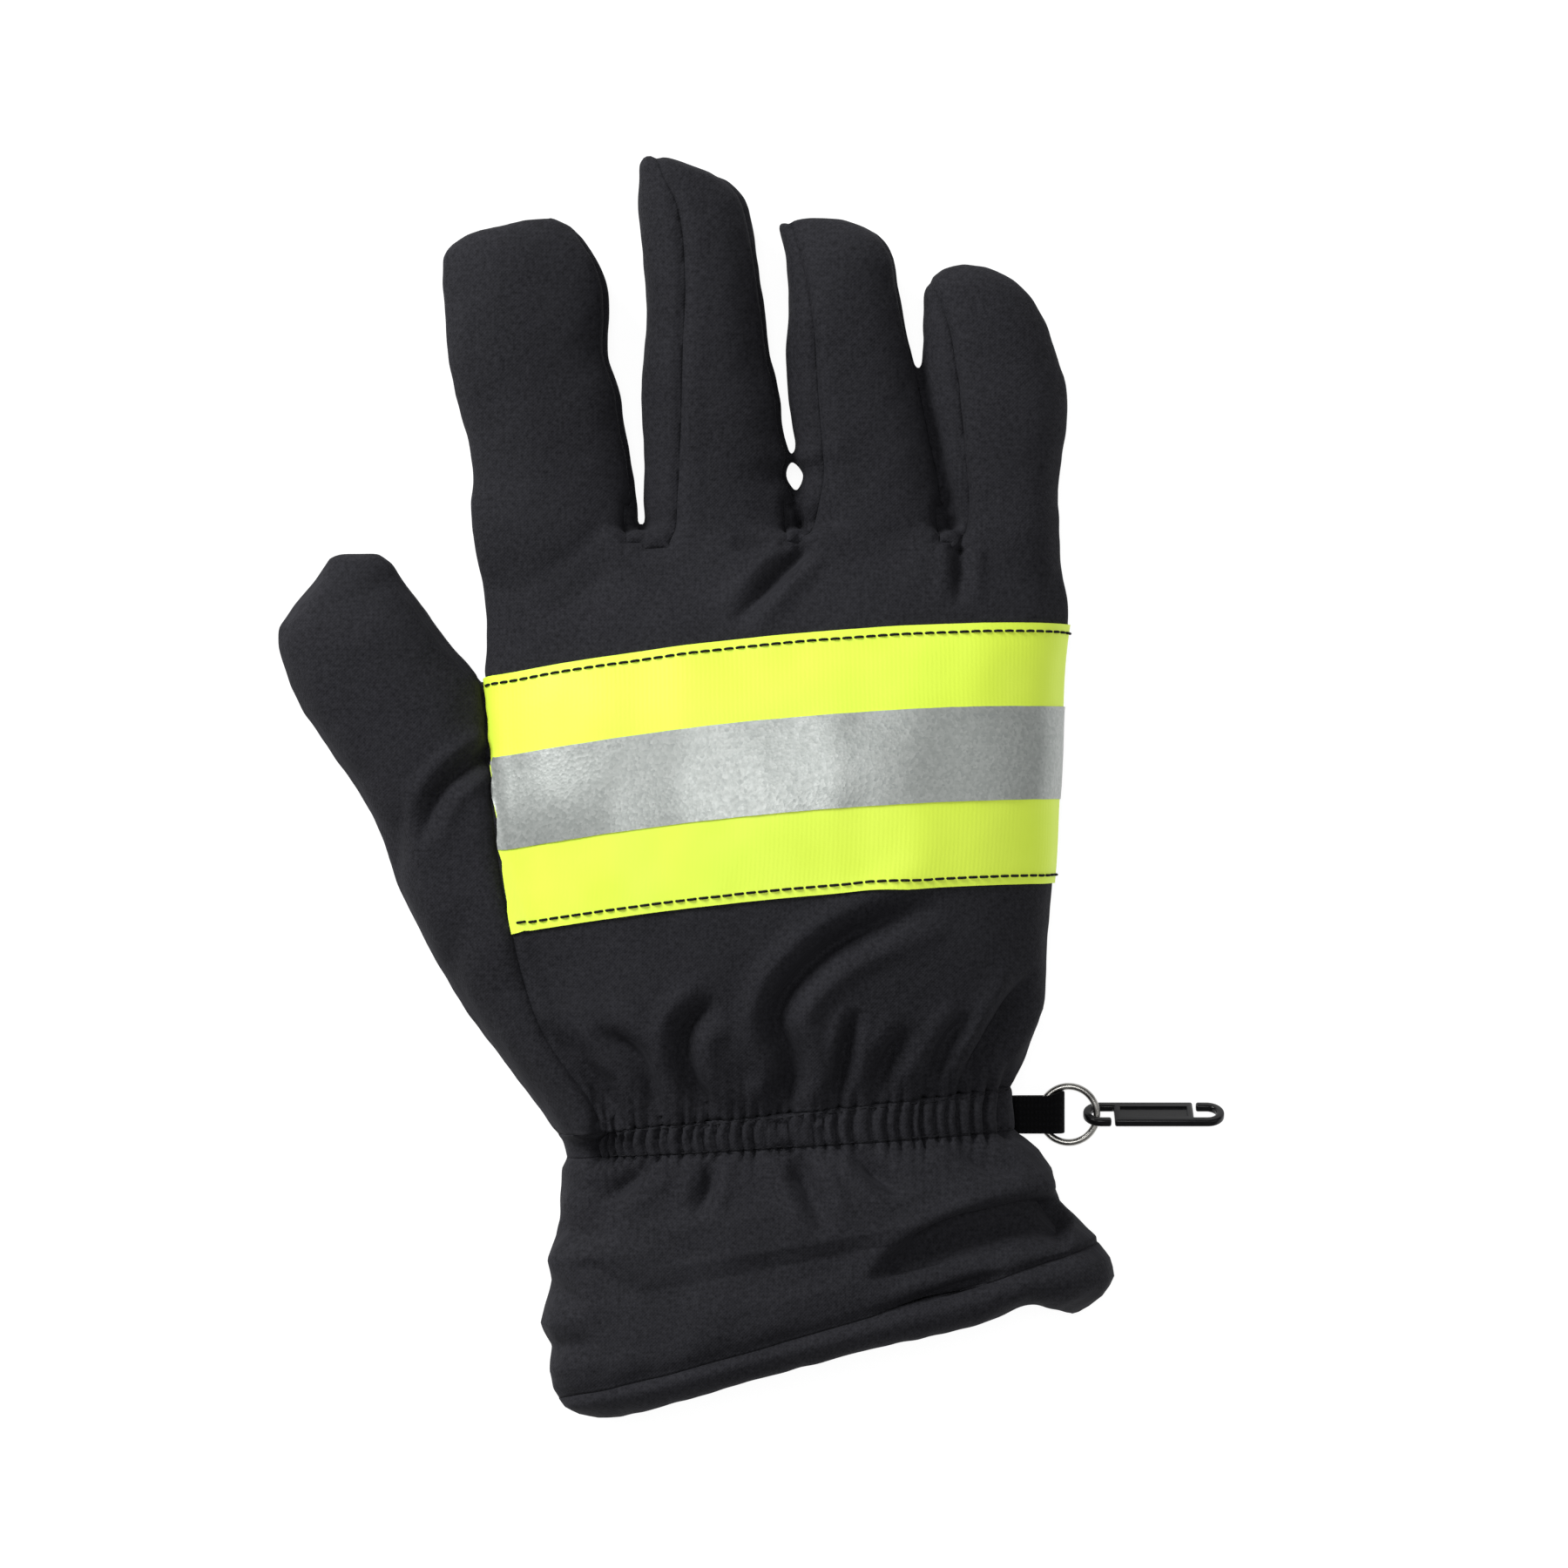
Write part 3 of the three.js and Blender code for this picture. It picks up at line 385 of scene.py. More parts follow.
def smooth_line(points, spacing=1.0):
    """A line through the points with rounded corners and even steps."""
    points = np.array(points, float)
    for _ in range(3):
        cut = np.empty((2 * len(points) - 2, 2))
        cut[0::2] = 0.75 * points[:-1] + 0.25 * points[1:]
        cut[1::2] = 0.25 * points[:-1] + 0.75 * points[1:]
        points = np.vstack([points[:1], cut, points[-1:]])
    length = lengths_along(points)[-1]
    return places_along(points, np.linspace(0, length, max(2, int(length / spacing) + 1)))


def line_distance(xy, line):
    """Distance from each place to a line, the share along it, and the side: positive to its left."""
    best = np.full(len(xy), 1e9)
    share = np.zeros(len(xy))
    side = np.ones(len(xy))
    count = len(line) - 1
    for k in range(count):
        a, b = line[k], line[k + 1]
        step = b - a
        t = ((xy - a) @ step) / (step @ step)
        inside = np.clip(t, 0, 1)
        off = xy - a - inside[:, None] * step
        away = np.hypot(off[:, 0], off[:, 1])
        near = away < best
        best[near] = away[near]
        share[near] = (k + inside[near]) / count
        cross = step[0] * (xy[:, 1] - a[1]) - step[1] * (xy[:, 0] - a[0])
        side[near] = np.sign(cross[near]) + (cross[near] == 0)
    return best, share, side


def ripple(points, size, seed):
    """A smooth random height from -1 to 1 that changes over about the given size."""
    random = np.random.default_rng(seed)
    total = np.zeros(len(points))
    for _ in range(9):
        way = random.normal(size=points.shape[1])
        way *= 2 * math.pi / (size * random.uniform(0.7, 1.5)) / np.linalg.norm(way)
        total += np.sin(points @ way + random.uniform(0, 2 * math.pi))
    return total / 4.5


def faded(depth, share, fade_in, fade_out):
    """A fold's depth at each share along it, which rises from nothing at both of its ends."""
    ends = np.clip(share / fade_in, 0, 1) * np.clip((1 - share) / fade_out, 0, 1)
    return depth * np.sin(np.pi / 2 * ends)


def fold_depth(xy, folds):
    """How far the skin sinks: the folds' hollows less the ridges beside them, each softly joined."""
    hollows, ridges = np.zeros(len(xy)), np.zeros(len(xy))
    for points, depth, width, fade_in, fade_out in folds:
        line = smooth_line(points, 1.5)
        low, high = line.min(0) - 5 * width, line.max(0) + 5 * width
        near = np.flatnonzero(((xy > low) & (xy < high)).all(1))
        away, share, _ = line_distance(xy[near], line)
        size = faded(depth, share, fade_in, fade_out)
        hollows[near] += (size / (1 + (away / width) ** 2) ** 1.5) ** 3
        ridges[near] += (0.35 * size * np.exp(-(((away - 2.4 * width) / (1.1 * width)) ** 2))) ** 3
    return np.cbrt(hollows) - np.cbrt(ridges)


def tuck_depth(xy, tucks):
    """Folds where the upper cloth laps over: steep above the line and gentle below it."""
    total = np.zeros(len(xy))
    for points, depth, steep, gentle, fade_in, fade_out in tucks:
        away, share, side = line_distance(xy, smooth_line(points, 1.5))
        width = np.where(side > 0, gentle, steep)
        roll = 0.22 * np.exp(-(((away - 3.2) / 2.4) ** 2)) * (side < 0)
        total += faded(depth, share, fade_in, fade_out) * (np.exp(-((away / width) ** 2)) - roll)
    return total


# Points in mm, then depth, width, and the shares over which it fades in and out
HAND_FOLDS = [
    ([(7, 48), (2, 43.5), (-2.5, 38.5), (-9, 31)], 2.8, 1.6, 0.1, 0.6),
    ([(-31, 44), (-38, 39), (-47, 32)], 0.9, 3.5, 0.4, 0.5),
    ([(-9, 48), (-3, 47), (3, 47.5)], 1.2, 1.8, 0.3, 0.1),
    ([(37.3, 48), (36.9, 43), (36.5, 35)], 2.1, 1.4, 0.1, 0.6),
    ([(30, 46), (20, 45), (10, 47)], 0.7, 2.6, 0.4, 0.4),
    ([(33.5, -23), (22, -27), (13, -31), (6, -36.5), (1.2, -42.5), (0, -48.5), (3, -53.7),
      (3.5, -58.5), (1.5, -63), (0, -69)], 4.3, 2.2, 0.4, 0.03),
    ([(-11, -42.5), (-17.5, -47), (-18.5, -53.7), (-17, -59.5), (-14, -64), (-12.3, -70)],
     3.9, 2.0, 0.3, 0.03),
    ([(16.1, -44.5), (14.5, -50.7), (13.4, -56.5), (11, -66)], 3.3, 1.3, 0.3, 0.03),
    ([(27, -48), (22.7, -54.2), (21, -58.3), (20, -66)], 3.1, 1.8, 0.35, 0.03),
    ([(40, -45), (35, -50.2), (33.2, -54.8), (30, -64)], 2.9, 1.7, 0.35, 0.03),
    ([(52, -37), (46, -46.7), (40.2, -54.2), (36.5, -63)], 3.3, 1.9, 0.35, 0.03),
    ([(-46, -47), (-39.7, -54.2), (-34, -61), (-31, -69)], 2.3, 2.0, 0.35, 0.05),
    ([(-36.5, -48.5), (-29.2, -52.5), (-25.2, -58), (-22.5, -70)], 2.8, 2.0, 0.35, 0.05),
    ([(-56, 7), (-62, 3), (-67.5, -2), (-71, -13)], 2.7, 1.6, 0.12, 0.5),
    ([(-72, -3), (-76, -10), (-76, -20)], 1.2, 3.0, 0.4, 0.5),
    ([(-60, -22), (-64, -32), (-66, -44)], 1.0, 4.0, 0.5, 0.5),
]
THUMB_SEAM = [
    (-76, 137), (-70, 56), (-64, 39), (-61.4, 28.5), (-58.1, 20.1), (-56.9, 5.2), (-55.6, -10.5),
    (-52, -30.1), (-49.7, -39.9), (-46.6, -49.3), (-40.8, -57.7), (-35.1, -64.3), (-32.2, -77),
]
# The visible seams of the strips between the fingers, from the fingertip to the crotch
STRIP_SEAMS = {
    "middle": [(-23.8, 126), (-22.6, 121.5), (-19.3, 115.8), (-17.9, 102.9), (-18.7, 83.8),
               (-19.2, 65.5), (-20.1, 50.8), (-21, 48.5)],
    "ring": [(3, 112), (4, 108.5), (7.4, 92.9), (8.2, 78.2), (9.6, 60.9), (7.4, 51.6), (5, 48.5)],
    "little": [(29.5, 105), (31.5, 99.2), (34.7, 91), (36.8, 74.5), (38, 58.1), (37.5, 49),
               (36.9, 47)],
}
print("folds:", len(HAND_FOLDS), "seams:", 1 + len(STRIP_SEAMS))

# %% [markdown]
# ## Cutting the skin into its panels
#
# Each panel is a field over the glove, positive inside and zero along the seam. Every triangle that
# a seam crosses is split where the field is zero, so the panels' edges run smoothly along the seams
# and neighbouring panels share their edges exactly, as sewn cloth does.

# %% Split a mesh where a field is zero
SNAP = 0.24                # a corner within this share of an edge moves onto the cut
STRIP_FOOT, STRIP_TOP = 4.0, 12.5      # heights in mm between which a strip's wall lies
STRIP_END = 0.95           # share of the finger's length at which its strip ends


def edges_of(triangles):
    return np.concatenate([triangles[:, [0, 1]], triangles[:, [1, 2]], triangles[:, [2, 0]]])


def split_by(points, triangles, values):
    """The mesh with new corners wherever a value changes sign along an edge."""
    points, values = points.copy(), np.where(np.abs(values) < 1e-6, 0.0, values)
    edges = np.unique(np.sort(edges_of(triangles), 1), axis=0)
    a, b = edges[values[edges[:, 0]] * values[edges[:, 1]] < 0].T
    share = values[a] / (values[a] - values[b])
    place = points[a] + share[:, None] * (points[b] - points[a])
    near, corner = np.minimum(share, 1 - share), np.where(share < 0.5, a, b)
    order = np.argsort(-near)
    order = order[near[order] < SNAP]
    points[corner[order]] = place[order]
    values[corner[order]] = 0.0
    left = values[a] * values[b] < 0
    crossing = {pair: len(points) + i for i, pair in enumerate(zip(a[left].tolist(), b[left].tolist()))}
    fields = np.concatenate([values, np.zeros(left.sum())])
    sign = np.sign(fields)
    cut = (sign[triangles].max(1) > 0) & (sign[triangles].min(1) < 0)
    new = []
    for triangle in triangles[cut].tolist():
        loop = []
        for i in range(3):
            start, end = triangle[i], triangle[(i + 1) % 3]
            loop.append(start)
            if sign[start] * sign[end] < 0:
                loop.append(crossing[min(start, end), max(start, end)])
        for wanted in (1, -1):
            part = [c for c in loop if sign[c] * wanted >= 0]
            new += [(part[0], part[i], part[i + 1]) for i in range(1, len(part) - 1)]
    kept = np.concatenate([triangles[~cut], np.array(new, int).reshape(-1, 3)])
    return np.concatenate([points, place[left]]), kept


def mesh_arrays(piece):
    """Corners in mm and triangles of a mesh object."""
    mesh = piece.data
    mesh.calc_loop_triangles()
    points = np.empty(len(mesh.vertices) * 3)
    mesh.vertices.foreach_get("co", points)
    triangles = np.empty(len(mesh.loop_triangles) * 3, int)
    mesh.loop_triangles.foreach_get("vertices", triangles)
    return points.reshape(-1, 3) / MM, triangles.reshape(-1, 3)


def digit_fields(name, points):
    """Along and across each place lies on a digit, in mm, from its own axis."""
    x0, y0, lean, length = DIGITS[name][:4]
    turn = math.radians(lean)
    dx, dy = points[:, 0] - x0, points[:, 1] - y0
    return -math.sin(turn) * dx + math.cos(turn) * dy, math.cos(turn) * dx + math.sin(turn) * dy, length


def strip_field(points, left, right):
    """Positive on the strip between two fingers: one's right wall, the crotch, the other's left."""
    height = points[:, 2]
    station, across, length = digit_fields(left, points)
    half, _, rows = DIGITS[left][4:]
    edge = row_at(rows, station / length)[1] * half
    wall = np.minimum.reduce([STRIP_TOP - height, height - STRIP_FOOT, across - 0.4 * half,
                              edge + 0.9 - across, station + 2.0, STRIP_END * length - station])
    root_edge = DIGITS[left][0] + row_at(rows, 0)[1] * half
    seam = smooth_line(STRIP_SEAMS[right])
    away, _, side = line_distance(points[:, :2], seam)
    station, across, length = digit_fields(right, points)
    half, _, rows = DIGITS[right][4:]
    edge = -row_at(rows, station / length)[0] * half
    other = np.minimum.reduce([-away * side, height - STRIP_FOOT, across - edge + 0.9, station + 2.2])
    crotch = np.minimum.reduce([points[:, 1] - 48.3, height - STRIP_FOOT, points[:, 0] - root_edge + 2.2,
                                seam[-1][0] - points[:, 0], 56.0 - points[:, 1]])
    return np.maximum.reduce([wall, other, crotch])


points, triangles = mesh_arrays(skin)
PAIRS = {"fourchette_index_middle": ("index", "middle"), "fourchette_middle_ring": ("middle", "ring"),
         "fourchette_ring_little": ("ring", "little")}


def wrist_field(points):
    return points[:, 1] - WRIST_Y - slope["wrist"] * points[:, 0] + 0.27


def thumb_field(points):
    away, _, side = line_distance(points[:, :2], smooth_line(THUMB_SEAM))
    return away * side


points, triangles = split_by(points, triangles, wrist_field(points))
points, triangles = split_by(points, triangles, points[:, 2] - SEAM)
points, triangles = split_by(points, triangles, thumb_field(points))
for pair in PAIRS.values():
    points, triangles = split_by(points, triangles, strip_field(points, *pair))
print("cut skin:", len(points), "corners,", len(triangles), "triangles")

# %% Which panel each triangle belongs to
centres = points[triangles].mean(1)
labels = np.full(len(triangles), "back_panel", dtype="<U30")
labels[thumb_field(centres) < 0] = "thumb_back"
labels[centres[:, 2] < SEAM] = "palm_panel"
for name, pair in PAIRS.items():
    labels[strip_field(centres, *pair) > 0] = name
keep = wrist_field(centres) > 0
triangles, labels = triangles[keep], labels[keep]
print("panels:", {name: int((labels == name).sum()) for name in sorted(set(labels))})


# %% Shape the skin: folds, gathers at the wrist and drawn-in seams
def corner_normals(points, triangles):
    a, b, c = (points[triangles[:, i]] for i in range(3))
    face = np.cross(b - a, c - a)
    total = np.zeros_like(points)
    for i in range(3):
        np.add.at(total, triangles[:, i], face)
    return total / np.maximum(np.linalg.norm(total, axis=1, keepdims=True), 1e-12)


def border_places(triangles, labels):
    """Corners on an edge between two panels."""
    edges = np.sort(edges_of(triangles), 1)
    owner = np.tile(np.unique(labels, return_inverse=True)[1], 3)
    order = np.lexsort((edges[:, 1], edges[:, 0]))
    edges, owner = edges[order], owner[order]
    same = (edges[1:] == edges[:-1]).all(1)
    seam = np.flatnonzero(same & (owner[1:] != owner[:-1]))
    return np.unique(edges[seam])


def distance_to(points, targets):
    tree = KDTree(len(targets))
    for i, target in enumerate(targets):
        tree.insert(target, i)
    tree.balance()
    return np.array([tree.find(point)[2] for point in points])


# Valleys of the elastic's small pleats across the wrist, in mm
PLEATS = np.array([-35, -33.3, -31.7, -30, -28.2, -25.6, -22.8, -21.1, -18.3, -16.1, -13.8,
                   -11.3, -8.7, -6.3, -4, -1.1, 0.6, 3, 5.8, 8.2, 9.9, 12.8, 15.7, 19.8, 22.7, 25,
                   27.9, 29.7, 32.6, 34.9, 37.2, 40, 42.5, 45.5])


def step_up(value, low, high):
    t = np.clip((value - low) / (high - low), 0, 1)
    return t * t * (3 - 2 * t)


PLEAT_DEPTHS = np.random.default_rng(4).uniform(0.4, 1.0, len(PLEATS))


def pleat(x):
    """From 0 on a pleat's round ridge to its own depth in its narrow valley."""
    count = np.interp(x, PLEATS, np.arange(len(PLEATS)))
    within = step_up(x, PLEATS[0] - 2, PLEATS[0]) * step_up(-x, -PLEATS[-1] - 2, -PLEATS[-1])
    own_depth = PLEAT_DEPTHS[np.round(count).astype(int)]
    return within * own_depth * (0.5 + 0.5 * np.cos(2 * math.pi * count)) ** 3


normals = corner_normals(points, triangles)
up = step_up(normals[:, 2], 0.0, 0.45)
above = wrist_field(points)
sunk = fold_depth(points[:, :2], HAND_FOLDS) * up * (0.3 + 0.7 * step_up(above, 0, 7))
upper = 0.4 + 0.6 * step_up(points[:, 2], 2, 9)
sunk += 2.0 * pleat(points[:, 0]) * np.exp(-above / 4.5) * upper
seam_corners = border_places(triangles, labels)
away = distance_to(points, points[seam_corners])
tug = 1.0 + 0.25 * ripple(points, 7, 5)
for seam in STRIP_SEAMS.values():
    tug *= 1 - 0.75 * np.exp(-((np.linalg.norm(points[:, :2] - seam[1], axis=1) / 5) ** 2))
for name in ("index", "middle", "ring"):
    length, half, _, rows = DIGITS[name][3:]
    strip_end = np.array(digit_place(name, STRIP_END * length, row_at(rows, STRIP_END)[1] * half))
    tug *= 1 - 0.85 * np.exp(-((np.linalg.norm(points[:, :2] - strip_end, axis=1) / 5) ** 2))
sunk += tug * (0.8 * np.exp(-((away / 0.95) ** 2)) - 0.25 * np.exp(-(((away - 3.2) / 1.8) ** 2)))
sunk += 0.34 * ripple(points, 17, 7) + 0.1 * ripple(points, 7, 9)
sunk += 0.1 * np.exp(-((above / 0.8) ** 2))
bottom = step_up(-normals[:, 2], 0.2, 0.8)
sunk -= bottom * 0.4 * ripple(points, 11, 11)
points = points - normals * sunk[:, None]
points[:, 2] = np.maximum(points[:, 2], ON_TABLE)
print("skin sinks by up to", round(float(sunk.max()), 2), "mm and rises by", round(float(-sunk.min()), 2))


# %% One object for each panel, with the thickness of the layered cloth
def shade_smooth(piece):
    piece.data.polygons.foreach_set("use_smooth", [True] * len(piece.data.polygons))
    piece.data.update()
    return piece


def sewn_panel(name, thickness):
    """The panel's outside, its inside one thickness deeper, and the rim that joins them."""
    used, faces = np.unique(triangles[labels == name], return_inverse=True)
    faces, count = faces.reshape(-1, 3), len(used)
    outside = points[used]
    inside = outside - normals[used] * thickness
    edges = edges_of(faces)
    rim = edges[~np.isin(edges[:, 0] * count + edges[:, 1], edges[:, 1] * count + edges[:, 0])]
    # The inside stops a little short of the seam, clear of the next panel's
    inwards = np.zeros_like(outside)
    for i in range(3):
        np.add.at(inwards, faces[:, i], outside[faces].mean(1) - outside[faces[:, i]])
    border = np.unique(rim)
    inwards = inwards[border]
    inside[border] += 0.2 * inwards / np.maximum(np.linalg.norm(inwards, axis=1, keepdims=True), 1e-6)
    inside[:, 2] = np.maximum(inside[:, 2], 0.3)
    walls = [(b, a, a + count, b + count) for a, b in rim.tolist()]
    piece = add_mesh(name + "_cloth", np.concatenate([outside, inside]),
                     faces.tolist() + (faces[:, ::-1] + count).tolist() + walls)
    return shade_smooth(piece)


panels = {name: sewn_panel(name, 1.3 if "fourchette" in name else 2.0) for name in sorted(set(labels))}
print("panels with walls:", {name: len(piece.data.polygons) for name, piece in panels.items()})

# %% [markdown]
# ## The elastic wrist, the cuff and its hem
#
# These three are sleeves, so they are built as grids: round the section one way, down the sleeve
# the other. A grid lets the small pleats run straight across the elastic, and the same grid turned
# inwards gives the inside that shows at the mouth.

# %% Sections of the sleeves
CUFF_ROWS = np.array([
    # Along, left, right, top
    (0, -0.785, 0.888, 0.794), (0.05, -0.8, 0.905, 0.81), (0.163, -0.8, 0.98, 0.86),
    (0.261, -0.797, 1.02, 0.9), (0.33, -0.808, 1.043, 0.935), (0.416, -0.845, 1.05, 0.955),
    (0.508, -0.832, 1.051, 0.97), (0.6, -0.848, 1.06, 0.935), (0.675, -0.862, 1.085, 0.95),
    (0.778, -0.83, 1.122, 0.985), (0.877, -0.843, 1.163, 0.99), (0.955, -0.83, 1.195, 0.985),
    (1, -0.81, 1.2, 0.98),
])
HEM_ROWS = np.array([(0, -0.81, 1.2, 0.98), (0.33, -0.775, 1.24, 0.99), (0.6, -0.725, 1.256, 0.97),
                     (0.82, -0.67, 1.225, 0.94), (1, -0.61, 1.13, 0.9)])


def mixed(a, b, share):
    return a + (b - a) * share


def band_section(share):
    return {"left": mixed(-0.955, -0.93, share) * WRIST_HALF,
            "right": mixed(1.045, 1.06, share) * WRIST_HALF,
            "over": WRIST_DEPTH - SEAM, "y": mixed(BAND_TOP, BAND_FOOT, share),
            "slope": mixed(slope["wrist"], slope["band"], share), "bow": 0.0}


def table_section(rows, share, top, foot, first, last, bow):
    share = np.clip(share, 0, 1)
    left, right, height = row_at(rows, share)
    return {"left": left * CUFF_HALF, "right": right * CUFF_HALF, "over": height * CUFF_DEPTH - SEAM,
            "y": mixed(top, foot, share), "slope": mixed(slope[first], slope[last], share),
            "bow": bow * share}


def cuff_section(share):
    return table_section(CUFF_ROWS, share, CUFF_TOP + 0.3, CUFF_FOOT, "band", "hem", 0.0)


def hem_section(share):
    return table_section(HEM_ROWS, share, HEM_TOP + 0.3, HEM_FOOT, "hem", "mouth", 2.6)


def sleeve_ring(section, inset, angles):
    across, height = outline(section["left"] + inset, section["right"] - inset, section["over"] - inset,
                             SEAM + FLAT - inset, angles)
    middle = (section["left"] + section["right"]) / 2
    off = np.clip((across - middle) / (section["right"] - middle), -1, 1)
    y = section["y"] + section["slope"] * across + section["bow"] * (1 - off**2)
    return np.stack([across, y, np.maximum(height, inset + ON_TABLE)], 1)


def grid_normals(grid):
    """Outward normals of a grid of rings that close on themselves."""
    round_step = np.roll(grid, -1, 1) - np.roll(grid, 1, 1)
    down_step = np.gradient(grid, axis=0)
    normal = np.cross(round_step, down_step)
    normal /= np.maximum(np.linalg.norm(normal, axis=2, keepdims=True), 1e-9)
    centre = grid.mean(1, keepdims=True)
    if (normal * (grid - centre)).sum() < 0:
        normal = -normal
    return normal


def closed_sleeve(name, rings):
    """A sleeve whose rings run down the outside and up the inside, and close on themselves."""
    rings = np.array(rings)
    faces = grid_faces(*rings.shape[:2], closed_across=True, closed_down=True)
    return shade_smooth(turned_outwards(add_mesh(name, rings.reshape(-1, 3), faces)))


print("cuff from", CUFF_TOP, "to", HEM_FOOT, "mm")

# %% Neighbours that meet flush at their stitch line
skin_tree = BVHTree.FromPolygons([tuple(p) for p in points], [tuple(t) for t in triangles])


def meet(rings, edge, spacing, reach=1.6):
    """Bends the first rings so that the first one meets the neighbour's edge, a hair below it."""
    shift = edge - rings[0] - np.array([0, 0.04, 0])
    fade = np.exp(-((np.arange(len(rings)) * spacing / reach) ** 2))
    return rings + shift[None] * fade[:, None, None]


# %% The elastic band with its pleats
AROUND = 440
turn = np.linspace(0, 2 * math.pi, AROUND, endpoint=False)
shares = np.linspace(0, 1, 22)
outer = np.array([sleeve_ring(band_section(t), 0.0, turn) for t in shares])
normal = grid_normals(outer)
across_band = shares[:, None]
pull = pleat(outer[:, :, 0] + 0.7 * np.sin(3 * across_band))
pull *= 0.4 + 0.6 * step_up(outer[:, :, 2], 1.5, 8)
stitched = np.exp(-((across_band / 0.09) ** 2)) + np.exp(-(((across_band - 1) / 0.09) ** 2))
wave = 0.25 * ripple(outer.reshape(-1, 3), 9, 21).reshape(outer.shape[:2])
gathered = step_up(outer[:, :, 0], -40, -31)
lift = (0.3 * np.sin(np.pi * across_band) ** 0.7 - 0.1 * stitched) * gathered + wave - 2.3 * pull
outer = outer + normal * lift[:, :, None]
hand_edge = np.array([skin_tree.find_nearest(Vector(place))[0] for place in outer[0]])
outer = meet(outer, hand_edge, 0.31)
outer[:, :, 2] = np.maximum(outer[:, :, 2], ON_TABLE)
band_foot = outer[-1].copy()
inner = [sleeve_ring(band_section(t), WALL + 0.6, turn) for t in np.linspace(1, 0, 6)]
band = closed_sleeve("wrist_band_cloth", [*outer, *inner])
print("band:", len(band.data.polygons), "faces")

# %% The cuff with its folds
CUFF_FOLDS = [
    ([(-13.2, -71), (-12.6, -78), (-16, -86)], 2.8, 1.5, 0.03, 0.5),
    ([(3.8, -70), (5.2, -77), (8, -82), (10.2, -89)], 3.6, 1.8, 0.03, 0.5),
    ([(14, -69), (19.2, -76.3), (26, -81)], 2.8, 1.7, 0.03, 0.5),
    ([(35, -69), (42, -75.6), (49, -77.5)], 2.0, 2.2, 0.05, 0.5),
    ([(-24, -74), (-30, -79.5), (-35.5, -83.5)], 2.4, 1.9, 0.05, 0.5),
    ([(-38, -94), (-34.6, -97.3), (-27.6, -101.5)], 1.3, 2.4, 0.3, 0.5),
    ([(-25, -89), (-18, -92.5), (-10, -92)], 0.8, 3.0, 0.4, 0.5),
    ([(-46, -88), (-40, -89.5), (-33, -89)], 1.0, 2.0, 0.1, 0.5),
    ([(-47, -100), (-42, -101), (-37, -104)], 0.9, 1.8, 0.1, 0.5),
    ([(-47, -112.5), (-42, -112), (-35, -110)], 0.9, 1.8, 0.1, 0.5),
    ([(48, -90.5), (36, -95), (26, -100)], 0.9, 3.0, 0.3, 0.5),
    ([(46, -96.5), (34, -100.5), (20, -106)], 2.4, 2.0, 0.3, 0.5),
]
# Points in mm, then depth, reach above and below the line, and the shares of fading
CUFF_TUCKS = [
    ([(60, -84.2), (52, -83.4), (44.5, -84.2), (33.3, -87.3), (24.5, -92.6), (18.2, -98.5)],
     5.2, 1.2, 6.0, 0.05, 0.3),
]


def shaped_cuff(grid):
    """The rings moved along their normals by folds, pleats at the top and small waves."""
    flat = grid.reshape(-1, 3)
    normal = grid_normals(grid).reshape(-1, 3)
    up = step_up(normal[:, 2], 0.0, 0.45)
    below = CUFF_TOP + 0.3 + slope["band"] * flat[:, 0] - flat[:, 1]
    sunk = fold_depth(flat[:, :2], CUFF_FOLDS) * up * (0.3 + 0.7 * step_up(below, 0, 6))
    sunk += tuck_depth(flat[:, :2], CUFF_TUCKS) * up
    upper = 0.4 + 0.6 * step_up(flat[:, 2], 2, 9)
    some = 0.55 + 0.45 * np.sin(1.9 * flat[:, 0]) * np.sin(0.43 * flat[:, 0] + 1)
    sunk += 2.3 * some * pleat(flat[:, 0]) * np.exp(-below / 3.6) * upper
    sunk += 0.45 * ripple(flat, 16, 32) + 0.12 * ripple(flat, 6, 33)
    return (flat - normal * sunk[:, None]).reshape(grid.shape)


shares = np.linspace(0, 1, 84)
outer = shaped_cuff(np.array([sleeve_ring(cuff_section(t), 0.0, turn) for t in shares]))
normal = grid_normals(outer)
down = shares * (CUFF_TOP - CUFF_FOOT)
tuck = 0.12 * np.exp(-((down / 0.8) ** 2)) + 1.0 * np.exp(-(((down[-1] - down) / 2.0) ** 2))
outer = outer - normal * tuck[:, None, None] * (0.25 + 0.75 * step_up(normal[:, :, 2:], 0.2, 0.7))
outer[:, :, 2] = np.maximum(outer[:, :, 2], ON_TABLE)
outer = meet(outer, band_foot, 0.46)
cuff_foot = outer[-1].copy()
inner = [sleeve_ring(cuff_section(t), WALL + 1.2, turn) for t in np.linspace(1, 0, 20)]
cuff = closed_sleeve("cuff_cloth", [*outer, *inner])
print("cuff:", len(cuff.data.polygons), "faces")

# %% The turned hem round the mouth
HEM_LONG = 8.2
